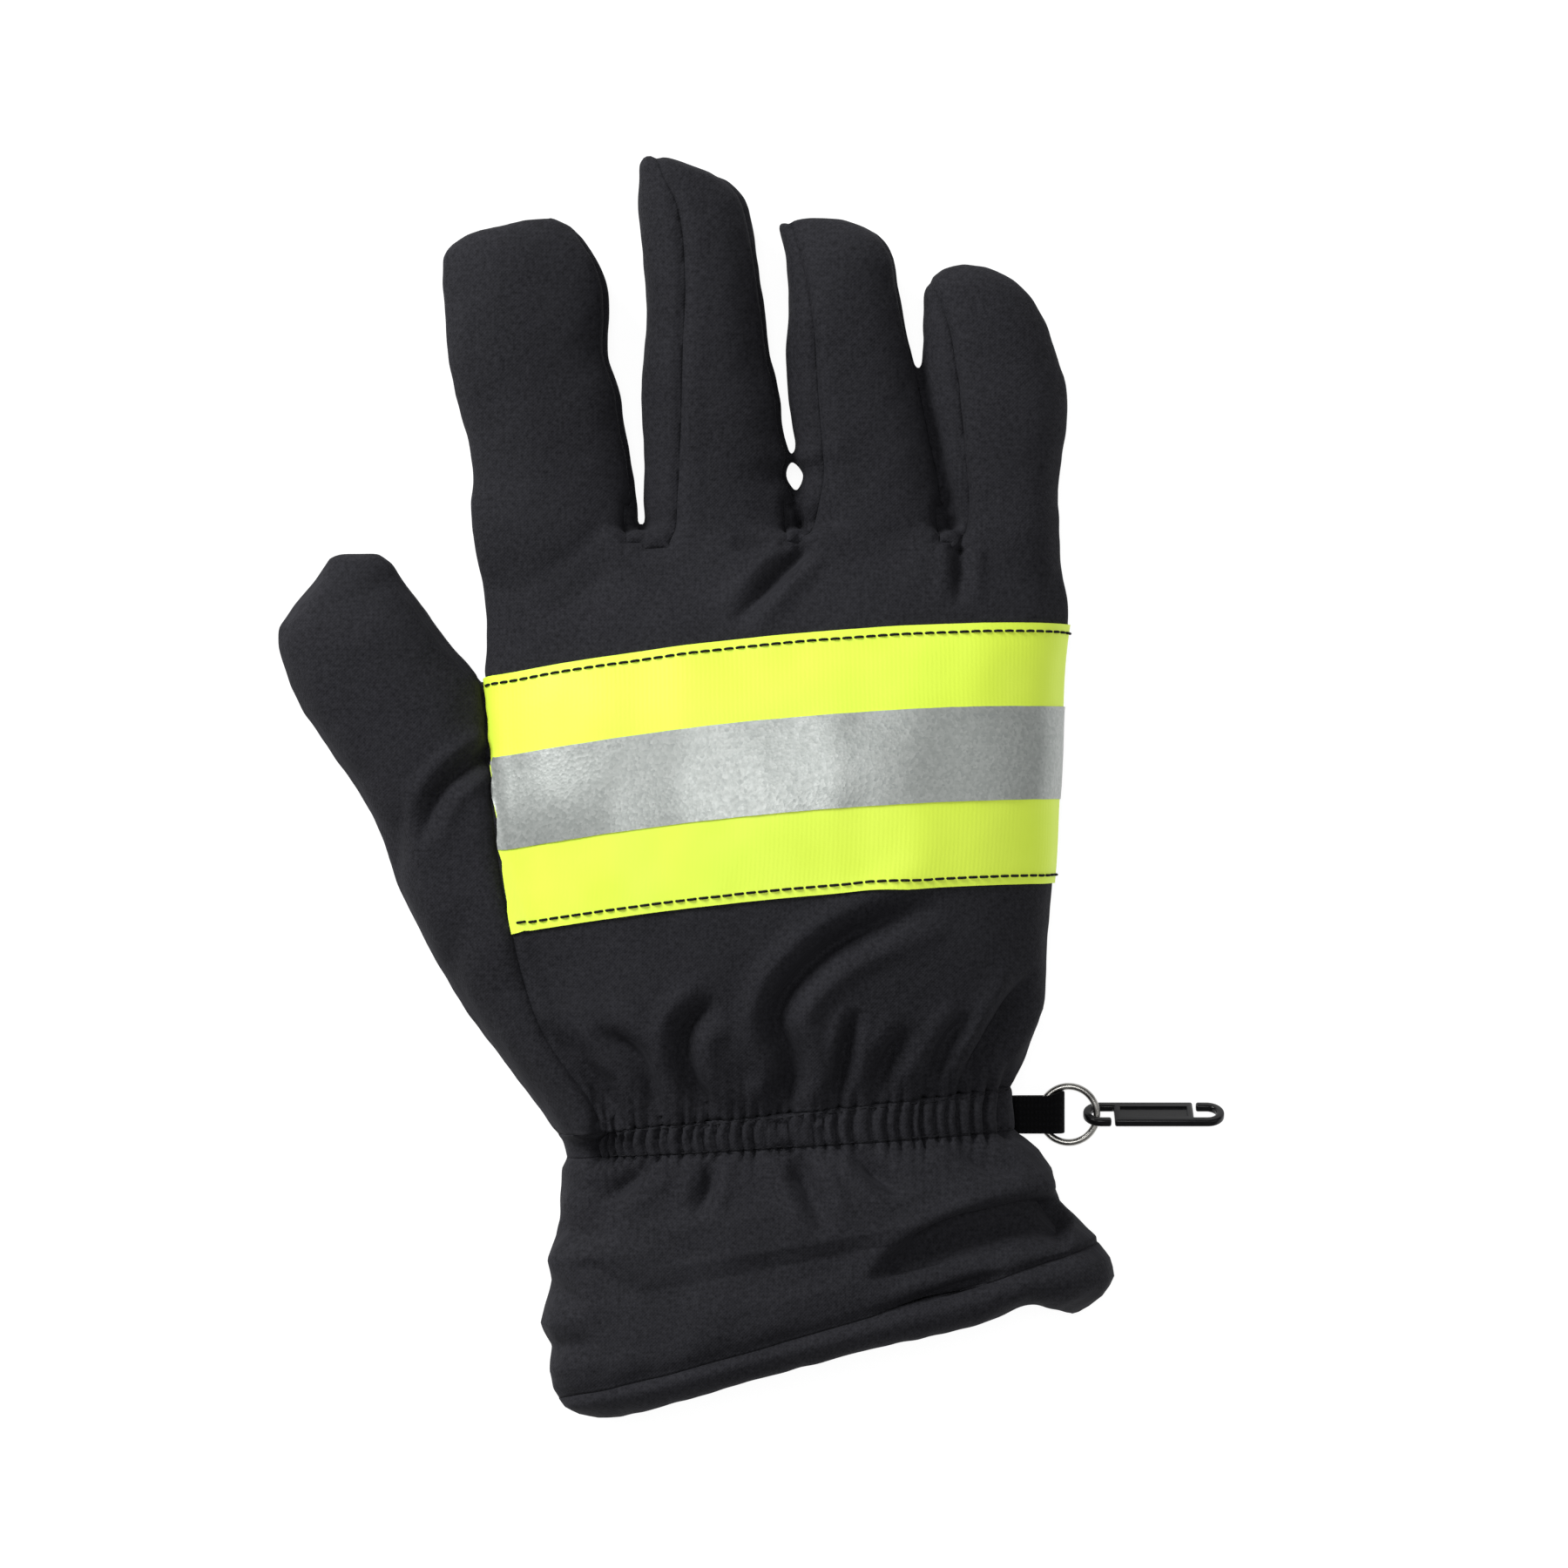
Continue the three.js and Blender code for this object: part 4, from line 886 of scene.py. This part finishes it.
# Down the sleeve in mm from the stitch line, and how far inside the cuff's own line
HEM_PROFILE = [(0, 0.5), (0.3, 0.25), (0.8, 0.0), (1.6, -0.3), (2.6, -0.5), (3.8, -0.6), (5, -0.6),
               (6, -0.6), (6.9, -0.45), (7.6, -0.1), (8.05, 0.5), (8.2, 1.3), (8.05, 2.1), (7.5, 2.8),
               (6.5, 3.2), (5, 3.3), (3, 3.3), (1.2, 3.3), (0, 3.1), (-0.4, 2.2)]
rings = []
for down, inset in HEM_PROFILE:
    ring = sleeve_ring(hem_section(down / HEM_LONG), inset, turn)
    low_down = np.clip(down / HEM_LONG, 0, 1) ** 1.5
    sag = np.exp(-((np.minimum(turn, 2 * math.pi - turn) / math.radians(24)) ** 2))
    ring[:, 1] -= 2.6 * sag * low_down
    # Near its right end the upper layer is pulled up, and the mouth opens under it
    pulled = low_down * step_up(ring[:, 2], 8, 13)
    ring[:, 1] += 2.4 * np.exp(-(((ring[:, 0] - 50) / 5.5) ** 2)) * pulled
    rings.append(ring)
grid = np.array(rings)
flat = grid.reshape(-1, 3)
wave = 0.3 * ripple(flat, 19, 41) + 0.12 * ripple(flat, 6, 42)
grid = (flat + grid_normals(grid).reshape(-1, 3) * wave[:, None]).reshape(grid.shape)
grid[:12] = meet(grid[:12], cuff_foot, 0.7)
grid[:, :, 2] = np.maximum(grid[:, :, 2], ON_TABLE)
hem = closed_sleeve("cuff_hem_cloth", grid)
print("hem:", len(hem.data.polygons), "faces,", round(time.time() - started, 1), "s")

# %% [markdown]
# ## The reflective tape
#
# The tape is a coated cloth ribbon that is sewn on flat, so it follows the back like a second skin.
# It is a grid of places along and across the tape; each is dropped onto the skin and lifted by the
# tape's own thickness. The silver stripe is bonded on top, and black stitches run along both edges.

# %% Places on the tape
TAPE_HALF = 25.9           # mm, half of the tape's width
STRIPE_LOW, STRIPE_HIGH = -9.1, 9.4


def tape_line(x, offset):
    """The height up the hand of a line along the tape: it slopes and bends a little."""
    return 3.3 + offset + math.tan(math.radians(5.4)) * x - 2.7 * (x / PALM_HALF) ** 2


def tape_place(angle, offset):
    """The place on the hand's own form at an angle round it, on a line along the tape."""
    y = offset
    for _ in range(4):
        along = (y - WRIST_Y) / (CROTCH_Y - WRIST_Y)
        for _ in range(3):
            left, right, over, lean = hand_section(along)
            across, height = outline(left, right, over, SEAM + FLAT, np.array([angle]))
            along = (y - lean * across[0] - WRIST_Y) / (CROTCH_Y - WRIST_Y)
        y = tape_line(across[0], offset)
    return np.array([across[0], y, height[0]])


def nearest(tree, place):
    """The nearest place on a surface, and its normal away from the glove's middle line."""
    hit, normal, _, _ = tree.find_nearest(Vector(place))
    normal = np.array(normal)
    outwards = place - np.array([0, place[1], SEAM])
    return np.array(hit), normal if normal @ outwards > 0 else -normal


def on_skin(place, lift):
    hit, normal = nearest(skin_tree, place)
    return hit + normal * lift


def left_end(offset):
    """The angle at which the tape's left end meets the thumb's seam, at an offset across it."""
    seam = smooth_line(THUMB_SEAM)
    inside, outside = math.radians(110), math.radians(179)
    for _ in range(16):
        angle = (inside + outside) / 2
        x, y, _ = tape_place(angle, offset)
        if x < np.interp(y, seam[::-1, 1], seam[::-1, 0]) + 0.5:
            outside = angle
        else:
            inside = angle
    return inside


print("the tape ends at", round(math.degrees(left_end(0)), 1), "degrees round the hand")


# %% Drop a ribbon onto the back of the hand
def add_map(piece, name, along, across):
    """A flat map of the piece in metres, from each corner's place on it in mm."""
    corner = np.empty(len(piece.data.loops), int)
    piece.data.loops.foreach_get("vertex_index", corner)
    places = np.stack([along[corner], across[corner]], 1).reshape(-1) * MM
    piece.data.uv_layers.new(name=name).data.foreach_set("uv", places)


def ribbon(name, low, high, lift, thickness, steps=170, rows=26):
    offsets = np.linspace(low, high, rows)
    grid = np.array([[on_skin(tape_place(angle, offset), lift)
                      for angle in np.linspace(math.radians(1.5), left_end(offset), steps)]
                     for offset in offsets])
    for _ in range(3):
        grid[1:-1, 1:-1] = (grid[1:-1, 1:-1] * 2 + grid[:-2, 1:-1] + grid[2:, 1:-1]
                            + grid[1:-1, :-2] + grid[1:-1, 2:]) / 6
    piece = add_mesh(name, grid.reshape(-1, 3), grid_faces(rows, steps))
    if piece.data.polygons[(rows // 2) * (steps - 1) + steps // 2].normal.z < 0:
        piece.data.flip_normals()
    steps_mm = np.linalg.norm(np.diff(grid, axis=1), axis=2)
    along = np.concatenate([np.zeros((rows, 1)), np.cumsum(steps_mm, 1)], 1).reshape(-1)
    add_map(piece, "tape", along, np.repeat(offsets, steps))
    use(piece)
    wall = piece.modifiers.new("wall", "SOLIDIFY")
    wall.thickness, wall.offset = thickness * MM, 1
    bpy.ops.object.modifier_apply(modifier="wall")
    bpy.ops.object.shade_smooth_by_angle(angle=math.radians(40))
    return piece, grid


tape, tape_grid = ribbon("tape_backing_cloth", -TAPE_HALF, TAPE_HALF, 0.12, 0.45)
stripe, _ = ribbon("tape_stripe_film", STRIPE_LOW, STRIPE_HIGH, 0.6, 0.2, rows=12)
print("tape:", len(tape.data.polygons), "stripe:", len(stripe.data.polygons), "faces")

# %% [markdown]
# ## Stitches
#
# A lockstitch shows on top as a row of short threads that dip into the cloth at both ends. One
# small thread is modelled with few faces and copied along each seam, turned to lie with it.

# %% A row of stitches along a line in space
def thread(length, radius):
    """Corners and faces of one stitch along x, raised in its middle, its ends in the cloth."""
    rings = []
    for t in (-1, -0.8, -0.3, 0.3, 0.8, 1):
        rise = radius * (1.0 - 1.6 * t * t)
        size = radius * (0.55 if abs(t) > 0.9 else 1.0)
        rings.append(np.array([(t * length / 2, size * math.cos(a), rise + size * math.sin(a))
                               for a in np.linspace(0, 2 * math.pi, 6, endpoint=False)]))
    return tube(rings)


def stitch_row(name, paths, tree, pitch, length, radius):
    """One mesh of stitches along each path over the surface of the tree."""
    shape, shape_faces = thread(length, radius)
    all_points, all_faces = [], []
    for path in paths:
        at = np.arange(pitch / 2, lengths_along(path)[-1] - pitch / 2, pitch)
        for place, ahead in zip(places_along(path, at), places_along(path, at + 0.4)):
            along = (ahead - place) / np.linalg.norm(ahead - place)
            side = np.cross(nearest(tree, place)[1], along)
            side /= np.linalg.norm(side)
            start = len(shape) * len(all_points)
            all_points.append(place + shape @ np.array([along, side, np.cross(along, side)]))
            all_faces += [tuple(start + i for i in face) for face in shape_faces]
    return shade_smooth(turned_outwards(add_mesh(name, np.concatenate(all_points), all_faces)))


STITCH_INSET = 1.7         # mm from the tape's edges
tape_paths = []
for share in (STITCH_INSET / (2 * TAPE_HALF), 1 - STITCH_INSET / (2 * TAPE_HALF)):
    at = share * (len(tape_grid) - 1)
    low = int(at)
    line = tape_grid[low] + (tape_grid[low + 1] - tape_grid[low]) * (at - low)
    tape_paths.append(np.array([place + 0.5 * nearest(skin_tree, place)[1] for place in line]))
tape_stitches = stitch_row("tape_stitches", tape_paths, skin_tree, 2.35, 2.0, 0.26)
print("tape stitches:", len(tape_stitches.data.polygons), "faces")

# %% Stitches on both edges of the elastic band
band_tree = BVHTree.FromPolygons([tuple(v.co / MM) for v in band.data.vertices],
                                 [tuple(p.vertices) for p in band.data.polygons])
band_paths = []
for share in (0.05, 0.95):
    angles = np.linspace(math.radians(8), math.radians(172), 240)
    line = sleeve_ring(band_section(share), 0.0, angles)
    line = np.array([nearest(band_tree, place)[0] for place in line if place[0] > -34])
    for _ in range(4):
        line[1:-1] = (line[:-2] + line[2:] + 2 * line[1:-1]) / 4
    band_paths.append(line)
band_stitches = stitch_row("wrist_band_stitches", band_paths, band_tree, 2.1, 1.4, 0.15)
print("band stitches:", len(band_stitches.data.polygons), "faces")

# %% [markdown]
# ## Webbing loop, ring and clip
#
# The webbing is folded round the ring and its two layers are sewn into the wrist's side seam. The
# ring is one bent and closed steel wire, so it is a torus. The clip is moulded in one piece: two
# slim hooks that open on opposite sides, with soft edges.

# %% The webbing loop
HANG_DROP = -1.8           # the loop, ring and clip hang this much lower than their solids
low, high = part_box("hang_loop")
LOOP_Y, LOOP_Z = (low.y + high.y) / 2 / MM + HANG_DROP, (low.z + high.z) / 2 / MM
LOOP_FOLD, LOOP_WIDE, LOOP_THICK = high.x / MM, (high.y - low.y) / MM, 1.1
LOOP_ROOT = low.x / MM - 0.6
RING_GAP = 0.95            # half of the room that the fold leaves for the ring


def webbing_line():
    """The webbing's middle line from the side: out along the bottom, round the ring and back."""
    half = RING_GAP + LOOP_THICK / 2
    bend = LOOP_FOLD - half - LOOP_THICK / 2
    bottom = [(LOOP_ROOT, -0.56), (LOOP_ROOT + 4.5, -0.6), (LOOP_ROOT + 6.4, -half * 0.9), (bend, -half)]
    arc = [(bend + half * math.sin(a), -half * math.cos(a)) for a in np.linspace(0, math.pi, 13)[1:-1]]
    return np.array(bottom + arc + [(x, -z) for x, z in bottom[::-1]])


line = webbing_line()
fine = np.linspace(0, lengths_along(line)[-1], 70)
line = places_along(line, fine)
across = np.linspace(-LOOP_WIDE / 2, LOOP_WIDE / 2, 17)
grid = [[(x, LOOP_Y + w + 1.1 * step_up(x, LOOP_FOLD - 4, LOOP_FOLD) * max(w, 0) / 4, LOOP_Z + z)
         for w in across] for x, z in line]
loop = add_mesh("hang_loop_webbing", np.array(grid).reshape(-1, 3), grid_faces(len(fine), len(across)))
add_map(loop, "weave", np.repeat(fine, len(across)), np.tile(across, len(fine)))
use(loop)
wall = loop.modifiers.new("wall", "SOLIDIFY")
wall.thickness, wall.offset = LOOP_THICK * MM, 0
edge = loop.modifiers.new("edge", "BEVEL")
edge.width, edge.segments = 0.3 * MM, 3
bpy.ops.object.modifier_apply(modifier="wall")
bpy.ops.object.modifier_apply(modifier="edge")
shade_smooth(turned_outwards(loop))
print("webbing loop:", len(loop.data.polygons), "faces")

# %% The steel ring
RING_RADIUS, WIRE_RADIUS = 5.7, 0.7
low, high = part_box("ring")
ring_middle = (low + high) / 2 + Vector((0, HANG_DROP * MM, 0))
bpy.ops.object.select_all(action="DESELECT")
bpy.ops.mesh.primitive_torus_add(major_segments=96, minor_segments=24, major_radius=RING_RADIUS * MM,
                                 minor_radius=WIRE_RADIUS * MM, location=ring_middle)
ring = bpy.context.active_object
ring.name = "ring_wire"
ring.rotation_euler = (math.radians(2), math.radians(-3), 0)
bpy.ops.object.transform_apply(location=True, rotation=True, scale=True)
shade_smooth(ring)
print("ring:", len(ring.data.polygons), "faces, diameter in mm", round((high.x - low.x) / MM, 1))

# %% The snap clip
CLIP_LONG, CLIP_WIDE, CLIP_WIRE, CLIP_HOOK, CLIP_MOUTH, CLIP_ROLL = 28.6, 7.0, 1.6, 4.7, 0.7, 60.0


def arc(x, radius, first, last):
    """Places on an arc about a place on the clip's middle line, between two angles."""
    return [(x + radius * math.cos(a), radius * math.sin(a))
            for a in np.linspace(math.radians(first), math.radians(last), 21)]


def clip_outline():
    """The clip's outline lying flat: a slim bar with a hook at each end, open on opposite sides."""
    r, inner, hook = CLIP_WIDE / 2, CLIP_WIDE / 2 - CLIP_WIRE, CLIP_WIRE + CLIP_HOOK
    half = [(hook, -r), *arc(CLIP_LONG - r, r, -90, 90), (CLIP_LONG - hook + CLIP_MOUTH, r),
            (CLIP_LONG - hook + CLIP_MOUTH, inner), *arc(CLIP_LONG - r, inner, 90, -90),
            (CLIP_LONG - hook, -inner)]
    return half + [(CLIP_LONG - x, -y) for x, y in half]


flat = clip_outline()
clip = use(add_mesh("clip_moulded", [(x, y, -CLIP_WIRE / 2) for x, y in flat], [tuple(range(len(flat)))]))
bpy.ops.object.mode_set(mode="EDIT")
bpy.ops.mesh.select_all(action="SELECT")
bpy.ops.mesh.extrude_region_move(TRANSFORM_OT_translate={"value": (0, 0, CLIP_WIRE * MM)})
bpy.ops.mesh.select_all(action="SELECT")
bpy.ops.mesh.remove_doubles(threshold=0.00001)
bpy.ops.mesh.normals_make_consistent(inside=False)
bpy.ops.object.mode_set(mode="OBJECT")
edge = clip.modifiers.new("edge", "BEVEL")
edge.width, edge.segments, edge.limit_method, edge.angle_limit = 0.45 * MM, 4, "ANGLE", math.radians(40)
bpy.ops.object.modifier_apply(modifier="edge")
# A shallow pocket on each side leaves two bars along the plate
for side in (-1, 1):
    bpy.ops.mesh.primitive_cube_add(size=MM, location=(CLIP_LONG / 2 * MM, 0, side * CLIP_WIRE / 2 * MM),
                                    scale=(CLIP_LONG - 2 * CLIP_WIRE - 2 * CLIP_HOOK - 2.4, 3.6, 0.9))
    pocket = bpy.context.active_object
    use(clip)
    carve = clip.modifiers.new("carve", "BOOLEAN")
    carve.object, carve.solver = pocket, "EXACT"
    bpy.ops.object.modifier_apply(modifier="carve")
    bpy.data.objects.remove(pocket)
clip_x = RING_RADIUS - WIRE_RADIUS - 0.5 - CLIP_WIRE
clip.location = ring_middle + Vector((clip_x * MM, 0, 0))
clip.rotation_euler = (math.radians(-CLIP_ROLL), 0, 0)
bpy.ops.object.transform_apply(location=True, rotation=True, scale=True)
bpy.ops.object.shade_smooth_by_angle(angle=math.radians(35))
print("clip:", len(clip.data.polygons), "faces, box in mm",
      [[round(v / MM, 1) for v in corner] for corner in (clip.bound_box[0], clip.bound_box[6])])

# %% [markdown]
# ## Materials
#
# Each finish starts from the real material. The patterns are measured in millimetres on the piece:
# object coordinates for the cloth, and each ribbon's own map for tape and webbing, whose threads
# follow the ribbon.

# %% A node with its settings and links, and colours from their sRGB hex
def linear(hex_colour):
    """A linear colour from an sRGB hex value."""
    parts = [int(hex_colour[i:i + 2], 16) / 255 for i in (1, 3, 5)]
    return tuple(c / 12.92 if c <= 0.04045 else ((c + 0.055) / 1.055) ** 2.4 for c in parts) + (1.0,)


def node(tree, kind, inputs=None, **settings):
    """Adds a node; each input is a value, or a node or one of its outputs to link."""
    made = tree.nodes.new("ShaderNode" + kind)
    for key, value in settings.items():
        setattr(made, key, value)
    for key, value in (inputs or {}).items():
        if isinstance(value, bpy.types.Node):
            value = value.outputs[0]
        if isinstance(value, bpy.types.NodeSocket):
            tree.links.new(value, made.inputs[key])
        else:
            made.inputs[key].default_value = value
    return made


def new_material(name, own_map=None, **constants):
    """A material, its nodes, and places in mm: on the object, or on the piece's own flat map.

    The constants are set on the shader's own sockets.
    """
    material = bpy.data.materials.new(name)
    material.use_nodes = True
    tree = material.node_tree
    for key, value in constants.items():
        tree.nodes["Principled BSDF"].inputs[key.replace("_", " ")].default_value = value
    if own_map:
        place = node(tree, "UVMap", uv_map=own_map)
    else:
        place = node(tree, "TexCoord").outputs["Object"]
    return material, tree, node(tree, "VectorMath", {0: place, "Scale": 1000.0}, operation="SCALE")


def finish_material(tree, shade, tones, ends=(0.0, 1.0), rough=None, bump=None):
    """Links a shade to a colour between two tones, and patterns to roughness and relief.

    rough holds a pattern, its share and the least roughness; bump a pattern, strength and depth.
    """
    tone = node(tree, "ValToRGB", {0: shade})
    for element, position, colour in zip(tone.color_ramp.elements, ends, tones):
        element.position, element.color = position, linear(colour)
    links = {"Base Color": tone}
    if rough:
        links["Roughness"] = node(tree, "Math", dict(enumerate(rough)), operation="MULTIPLY_ADD")
    if bump:
        links["Normal"] = node(tree, "Bump", dict(zip(("Height", "Strength", "Distance"), bump)))
    for socket, made in links.items():
        tree.links.new(made.outputs[0], tree.nodes["Principled BSDF"].inputs[socket])


def dress(piece, material):
    piece.data.materials.clear()
    piece.data.materials.append(material)


# %% Black aramid twill, woven and washed soft
# Matt dark yarns with a little fibre sheen. The real yarns are about 0.35 mm apart, too fine for
# the picture, so the weave is drawn at 0.7 mm.
WEAVE_PITCH = 0.7
cloth, tree, in_mm = new_material("aramid_twill", Roughness=0.88, Sheen_Weight=0.04,
                                  Sheen_Roughness=0.45, Sheen_Tint=linear("#9a9aa6"),
                                  Specular_IOR_Level=0.1)
# The weave runs across and along the glove. Where a side is steep, the height takes one's place.
xyz = node(tree, "SeparateXYZ", {0: in_mm})
facing = node(tree, "VectorMath", {0: node(tree, "TexCoord").outputs["Normal"]}, operation="ABSOLUTE")
way = node(tree, "SeparateXYZ", {0: facing})
uv, waves = [], []
for axis in "XY":
    steep = node(tree, "Math", {0: way.outputs[axis], 1: way.outputs["Z"]}, operation="GREATER_THAN")
    uv.append(node(tree, "Mix", {0: steep, 2: xyz.outputs[axis], 3: xyz.outputs["Z"]}))
    phase = node(tree, "Math", {0: uv[-1], 1: 2 * math.pi / WEAVE_PITCH}, operation="MULTIPLY")
    waves.append(node(tree, "Math", {0: phase}, operation="SINE"))
check = node(tree, "Math", dict(enumerate(waves)), operation="MULTIPLY")
flat_place = node(tree, "CombineXYZ", dict(enumerate(uv)))
yarns = []
for stretch in ((1.3 / WEAVE_PITCH, 0.8, 1), (0.8, 1.3 / WEAVE_PITCH, 1)):
    along_yarn = node(tree, "VectorMath", {0: flat_place, 1: stretch}, operation="MULTIPLY")
    yarns.append(node(tree, "TexNoise", {"Vector": along_yarn, "Scale": 1.0, "Detail": 2.5},
                      noise_dimensions="2D"))
yarn = node(tree, "Math", dict(enumerate(yarns)), operation="ADD")
patches = node(tree, "TexNoise", {"Vector": in_mm, "Scale": 0.045, "Detail": 3.0})
shade = node(tree, "Math", {0: yarn, 1: 0.75, 2: -0.25}, operation="MULTIPLY_ADD")
shade = node(tree, "Math", {0: check, 1: 0.1, 2: shade}, operation="MULTIPLY_ADD")
shade = node(tree, "Math", {0: patches, 1: 0.45, 2: shade}, operation="MULTIPLY_ADD")
fuzz = node(tree, "TexNoise", {"Vector": in_mm, "Scale": 2.5, "Detail": 2.0})
relief = node(tree, "Math", {0: check, 1: 0.5, 2: yarn}, operation="MULTIPLY_ADD")
relief = node(tree, "Math", {0: fuzz, 1: 0.5, 2: relief}, operation="MULTIPLY_ADD")
finish_material(tree, shade, ("#18181b", "#2b2b2f"), (0.35, 1.0), bump=(relief, 0.35, 0.00012))
print("cloth material nodes:", len(tree.nodes))

# %% Fluorescent lime tape: dyed, coated polyester, with a faint painted glow for its fluorescence
# The faint emission is painted glow: the tape shines by itself, the same under any light.
lime, tree, in_mm = new_material("lime_coated_polyester", "tape", Roughness=0.5, Specular_IOR_Level=0.35,
                                 Emission_Color=linear("#dfff28"), Emission_Strength=0.05)
soiling = node(tree, "TexNoise", {"Vector": in_mm, "Scale": 0.06, "Detail": 2.0})
# The knitted ground shows as ribs about 0.9 mm apart through the coating
ribs = node(tree, "TexWave", {"Vector": in_mm, "Scale": 0.35, "Distortion": 0.4}, bands_direction="X")
grain = node(tree, "TexNoise", {"Vector": in_mm, "Scale": 1.6, "Detail": 2.0})
relief = node(tree, "Math", {0: ribs.outputs[1], 1: 0.4, 2: grain}, operation="MULTIPLY_ADD")
finish_material(tree, soiling, ("#dcf64a", "#e4fd54"), (0.3, 0.7), bump=(relief, 0.3, 0.0001))
print("lime material nodes:", len(tree.nodes))

# %% Silver reflective film: glass beads 0.05 mm across on aluminium, which sparkle in groups
silver, tree, in_mm = new_material("glass_bead_film", "tape", Metallic=0.36, Specular_IOR_Level=0.6)
# Drawn 0.6 mm apart, since single beads are too fine to show
beads = node(tree, "TexVoronoi", {"Vector": in_mm, "Scale": 1.7})
haze = node(tree, "TexNoise", {"Vector": in_mm, "Scale": 0.8, "Detail": 3.0})
finish_material(tree, beads.outputs["Color"], ("#959a97", "#b0b4b1"), rough=(haze, 0.2, 0.28),
                bump=(beads.outputs["Distance"], 0.25, 0.00008))
print("silver material nodes:", len(tree.nodes))

# %% Black webbing: tightly woven polyester with ribs across it, 0.8 mm apart
webbing, tree, in_mm = new_material("polyester_webbing", "weave", Roughness=0.85, Sheen_Weight=0.02,
                                    Specular_IOR_Level=0.12)
ribs = node(tree, "TexWave", {"Vector": in_mm, "Scale": 0.4, "Distortion": 0.6}, bands_direction="X")
warp = node(tree, "TexWave", {"Vector": in_mm, "Scale": 0.25, "Distortion": 0.5}, bands_direction="Y")
relief = node(tree, "Math", {0: ribs.outputs[1], 1: warp.outputs[1]}, operation="MULTIPLY")
finish_material(tree, relief, ("#040405", "#0c0c0e"), bump=(relief, 0.5, 0.0002))

# %% Sewing thread: twisted black filament polyester, a little glossier than the cloth
sewing, tree, in_mm = new_material("filament_thread", Roughness=0.75, Specular_IOR_Level=0.15)
twist = node(tree, "TexNoise", {"Vector": in_mm, "Scale": 3.0, "Detail": 1.0})
finish_material(tree, twist, ("#0d0d10", "#1a1a1e"), bump=(twist, 0.3, 0.0001))

# %% Drawn steel wire: dull bright with fine draw marks and rubbed patches
steel, tree, in_mm = new_material("drawn_steel_wire", Metallic=1.0)
rubbed = node(tree, "TexNoise", {"Vector": in_mm, "Scale": 0.5, "Detail": 4.0})
finish_material(tree, rubbed, ("#8a8985", "#bcbab5"), (0.35, 0.7), rough=(rubbed, 0.3, 0.15))

# %% Black acetal: moulded glossy, with a faint flow texture
acetal, tree, in_mm = new_material("moulded_black_acetal", IOR=1.48, Specular_IOR_Level=0.2)
flow = node(tree, "TexNoise", {"Vector": in_mm, "Scale": 0.9, "Detail": 3.0})
finish_material(tree, flow, ("#0b0b0c", "#19191b"), rough=(flow, 0.16, 0.14), bump=(flow, 0.12, 0.0001))
print("materials:", [material.name for material in (webbing, sewing, steel, acetal)])

# %% The table: opal acrylic lit from below, so that the glove hardly throws a shadow
TABLE_HALF = 1600          # mm
opal, tree, in_mm = new_material("opal_acrylic_light_table", Roughness=0.7, Specular_IOR_Level=0.2,
                                 Emission_Color=linear("#ffffff"), Emission_Strength=0.92)
grain = node(tree, "TexNoise", {"Vector": in_mm, "Scale": 0.3, "Detail": 2.0})
finish_material(tree, grain, ("#7c7c7c", "#868686"))
corners = [(-1, -1, 0), (1, -1, 0), (1, 1, 0), (-1, 1, 0)]
floor = add_mesh("table", np.array(corners) * TABLE_HALF, [(0, 1, 2, 3)])
dress(floor, opal)
floor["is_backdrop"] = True
print("table, in mm:", 2 * TABLE_HALF)

# %% [markdown]
# ## Handing each piece to its solid
#
# Every piece stands for the solid whose place it takes, so the solid isn't shown but still carries
# the weight and the contacts. Stitches stand for nothing of their own; they ride along.

# %% Materials and solids
bpy.data.objects.remove(skin)
made = [(piece, cloth, name, "outer_cloth") for name, piece in panels.items()]
made += [(band, cloth, "wrist_band", "outer_cloth"), (cuff, cloth, "cuff", "outer_cloth"),
         (hem, cloth, "cuff_hem", "outer_cloth"), (tape, lime, "tape_backing", "lime_tape"),
         (stripe, silver, "tape_stripe", "silver_tape"), (loop, webbing, "hang_loop", "webbing"),
         (ring, steel, "ring", "ring_steel"), (clip, acetal, "clip", "clip_plastic"),
         (tape_stitches, sewing, None, "outer_cloth"), (band_stitches, sewing, None, "outer_cloth")]
for piece, material, solid, slot_name in made:
    print(piece.name, "lowest point in mm", round(min(v.co.z for v in piece.data.vertices) / MM, 2))
    dress(piece, material)
    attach(piece, "root")
    if solid:
        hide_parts(solid)
dressed_box = [list(corner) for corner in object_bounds()]
print("dressed box in mm", [[round(value / MM, 1) for value in corner] for corner in dressed_box],
      "after", round(time.time() - started, 1), "s")
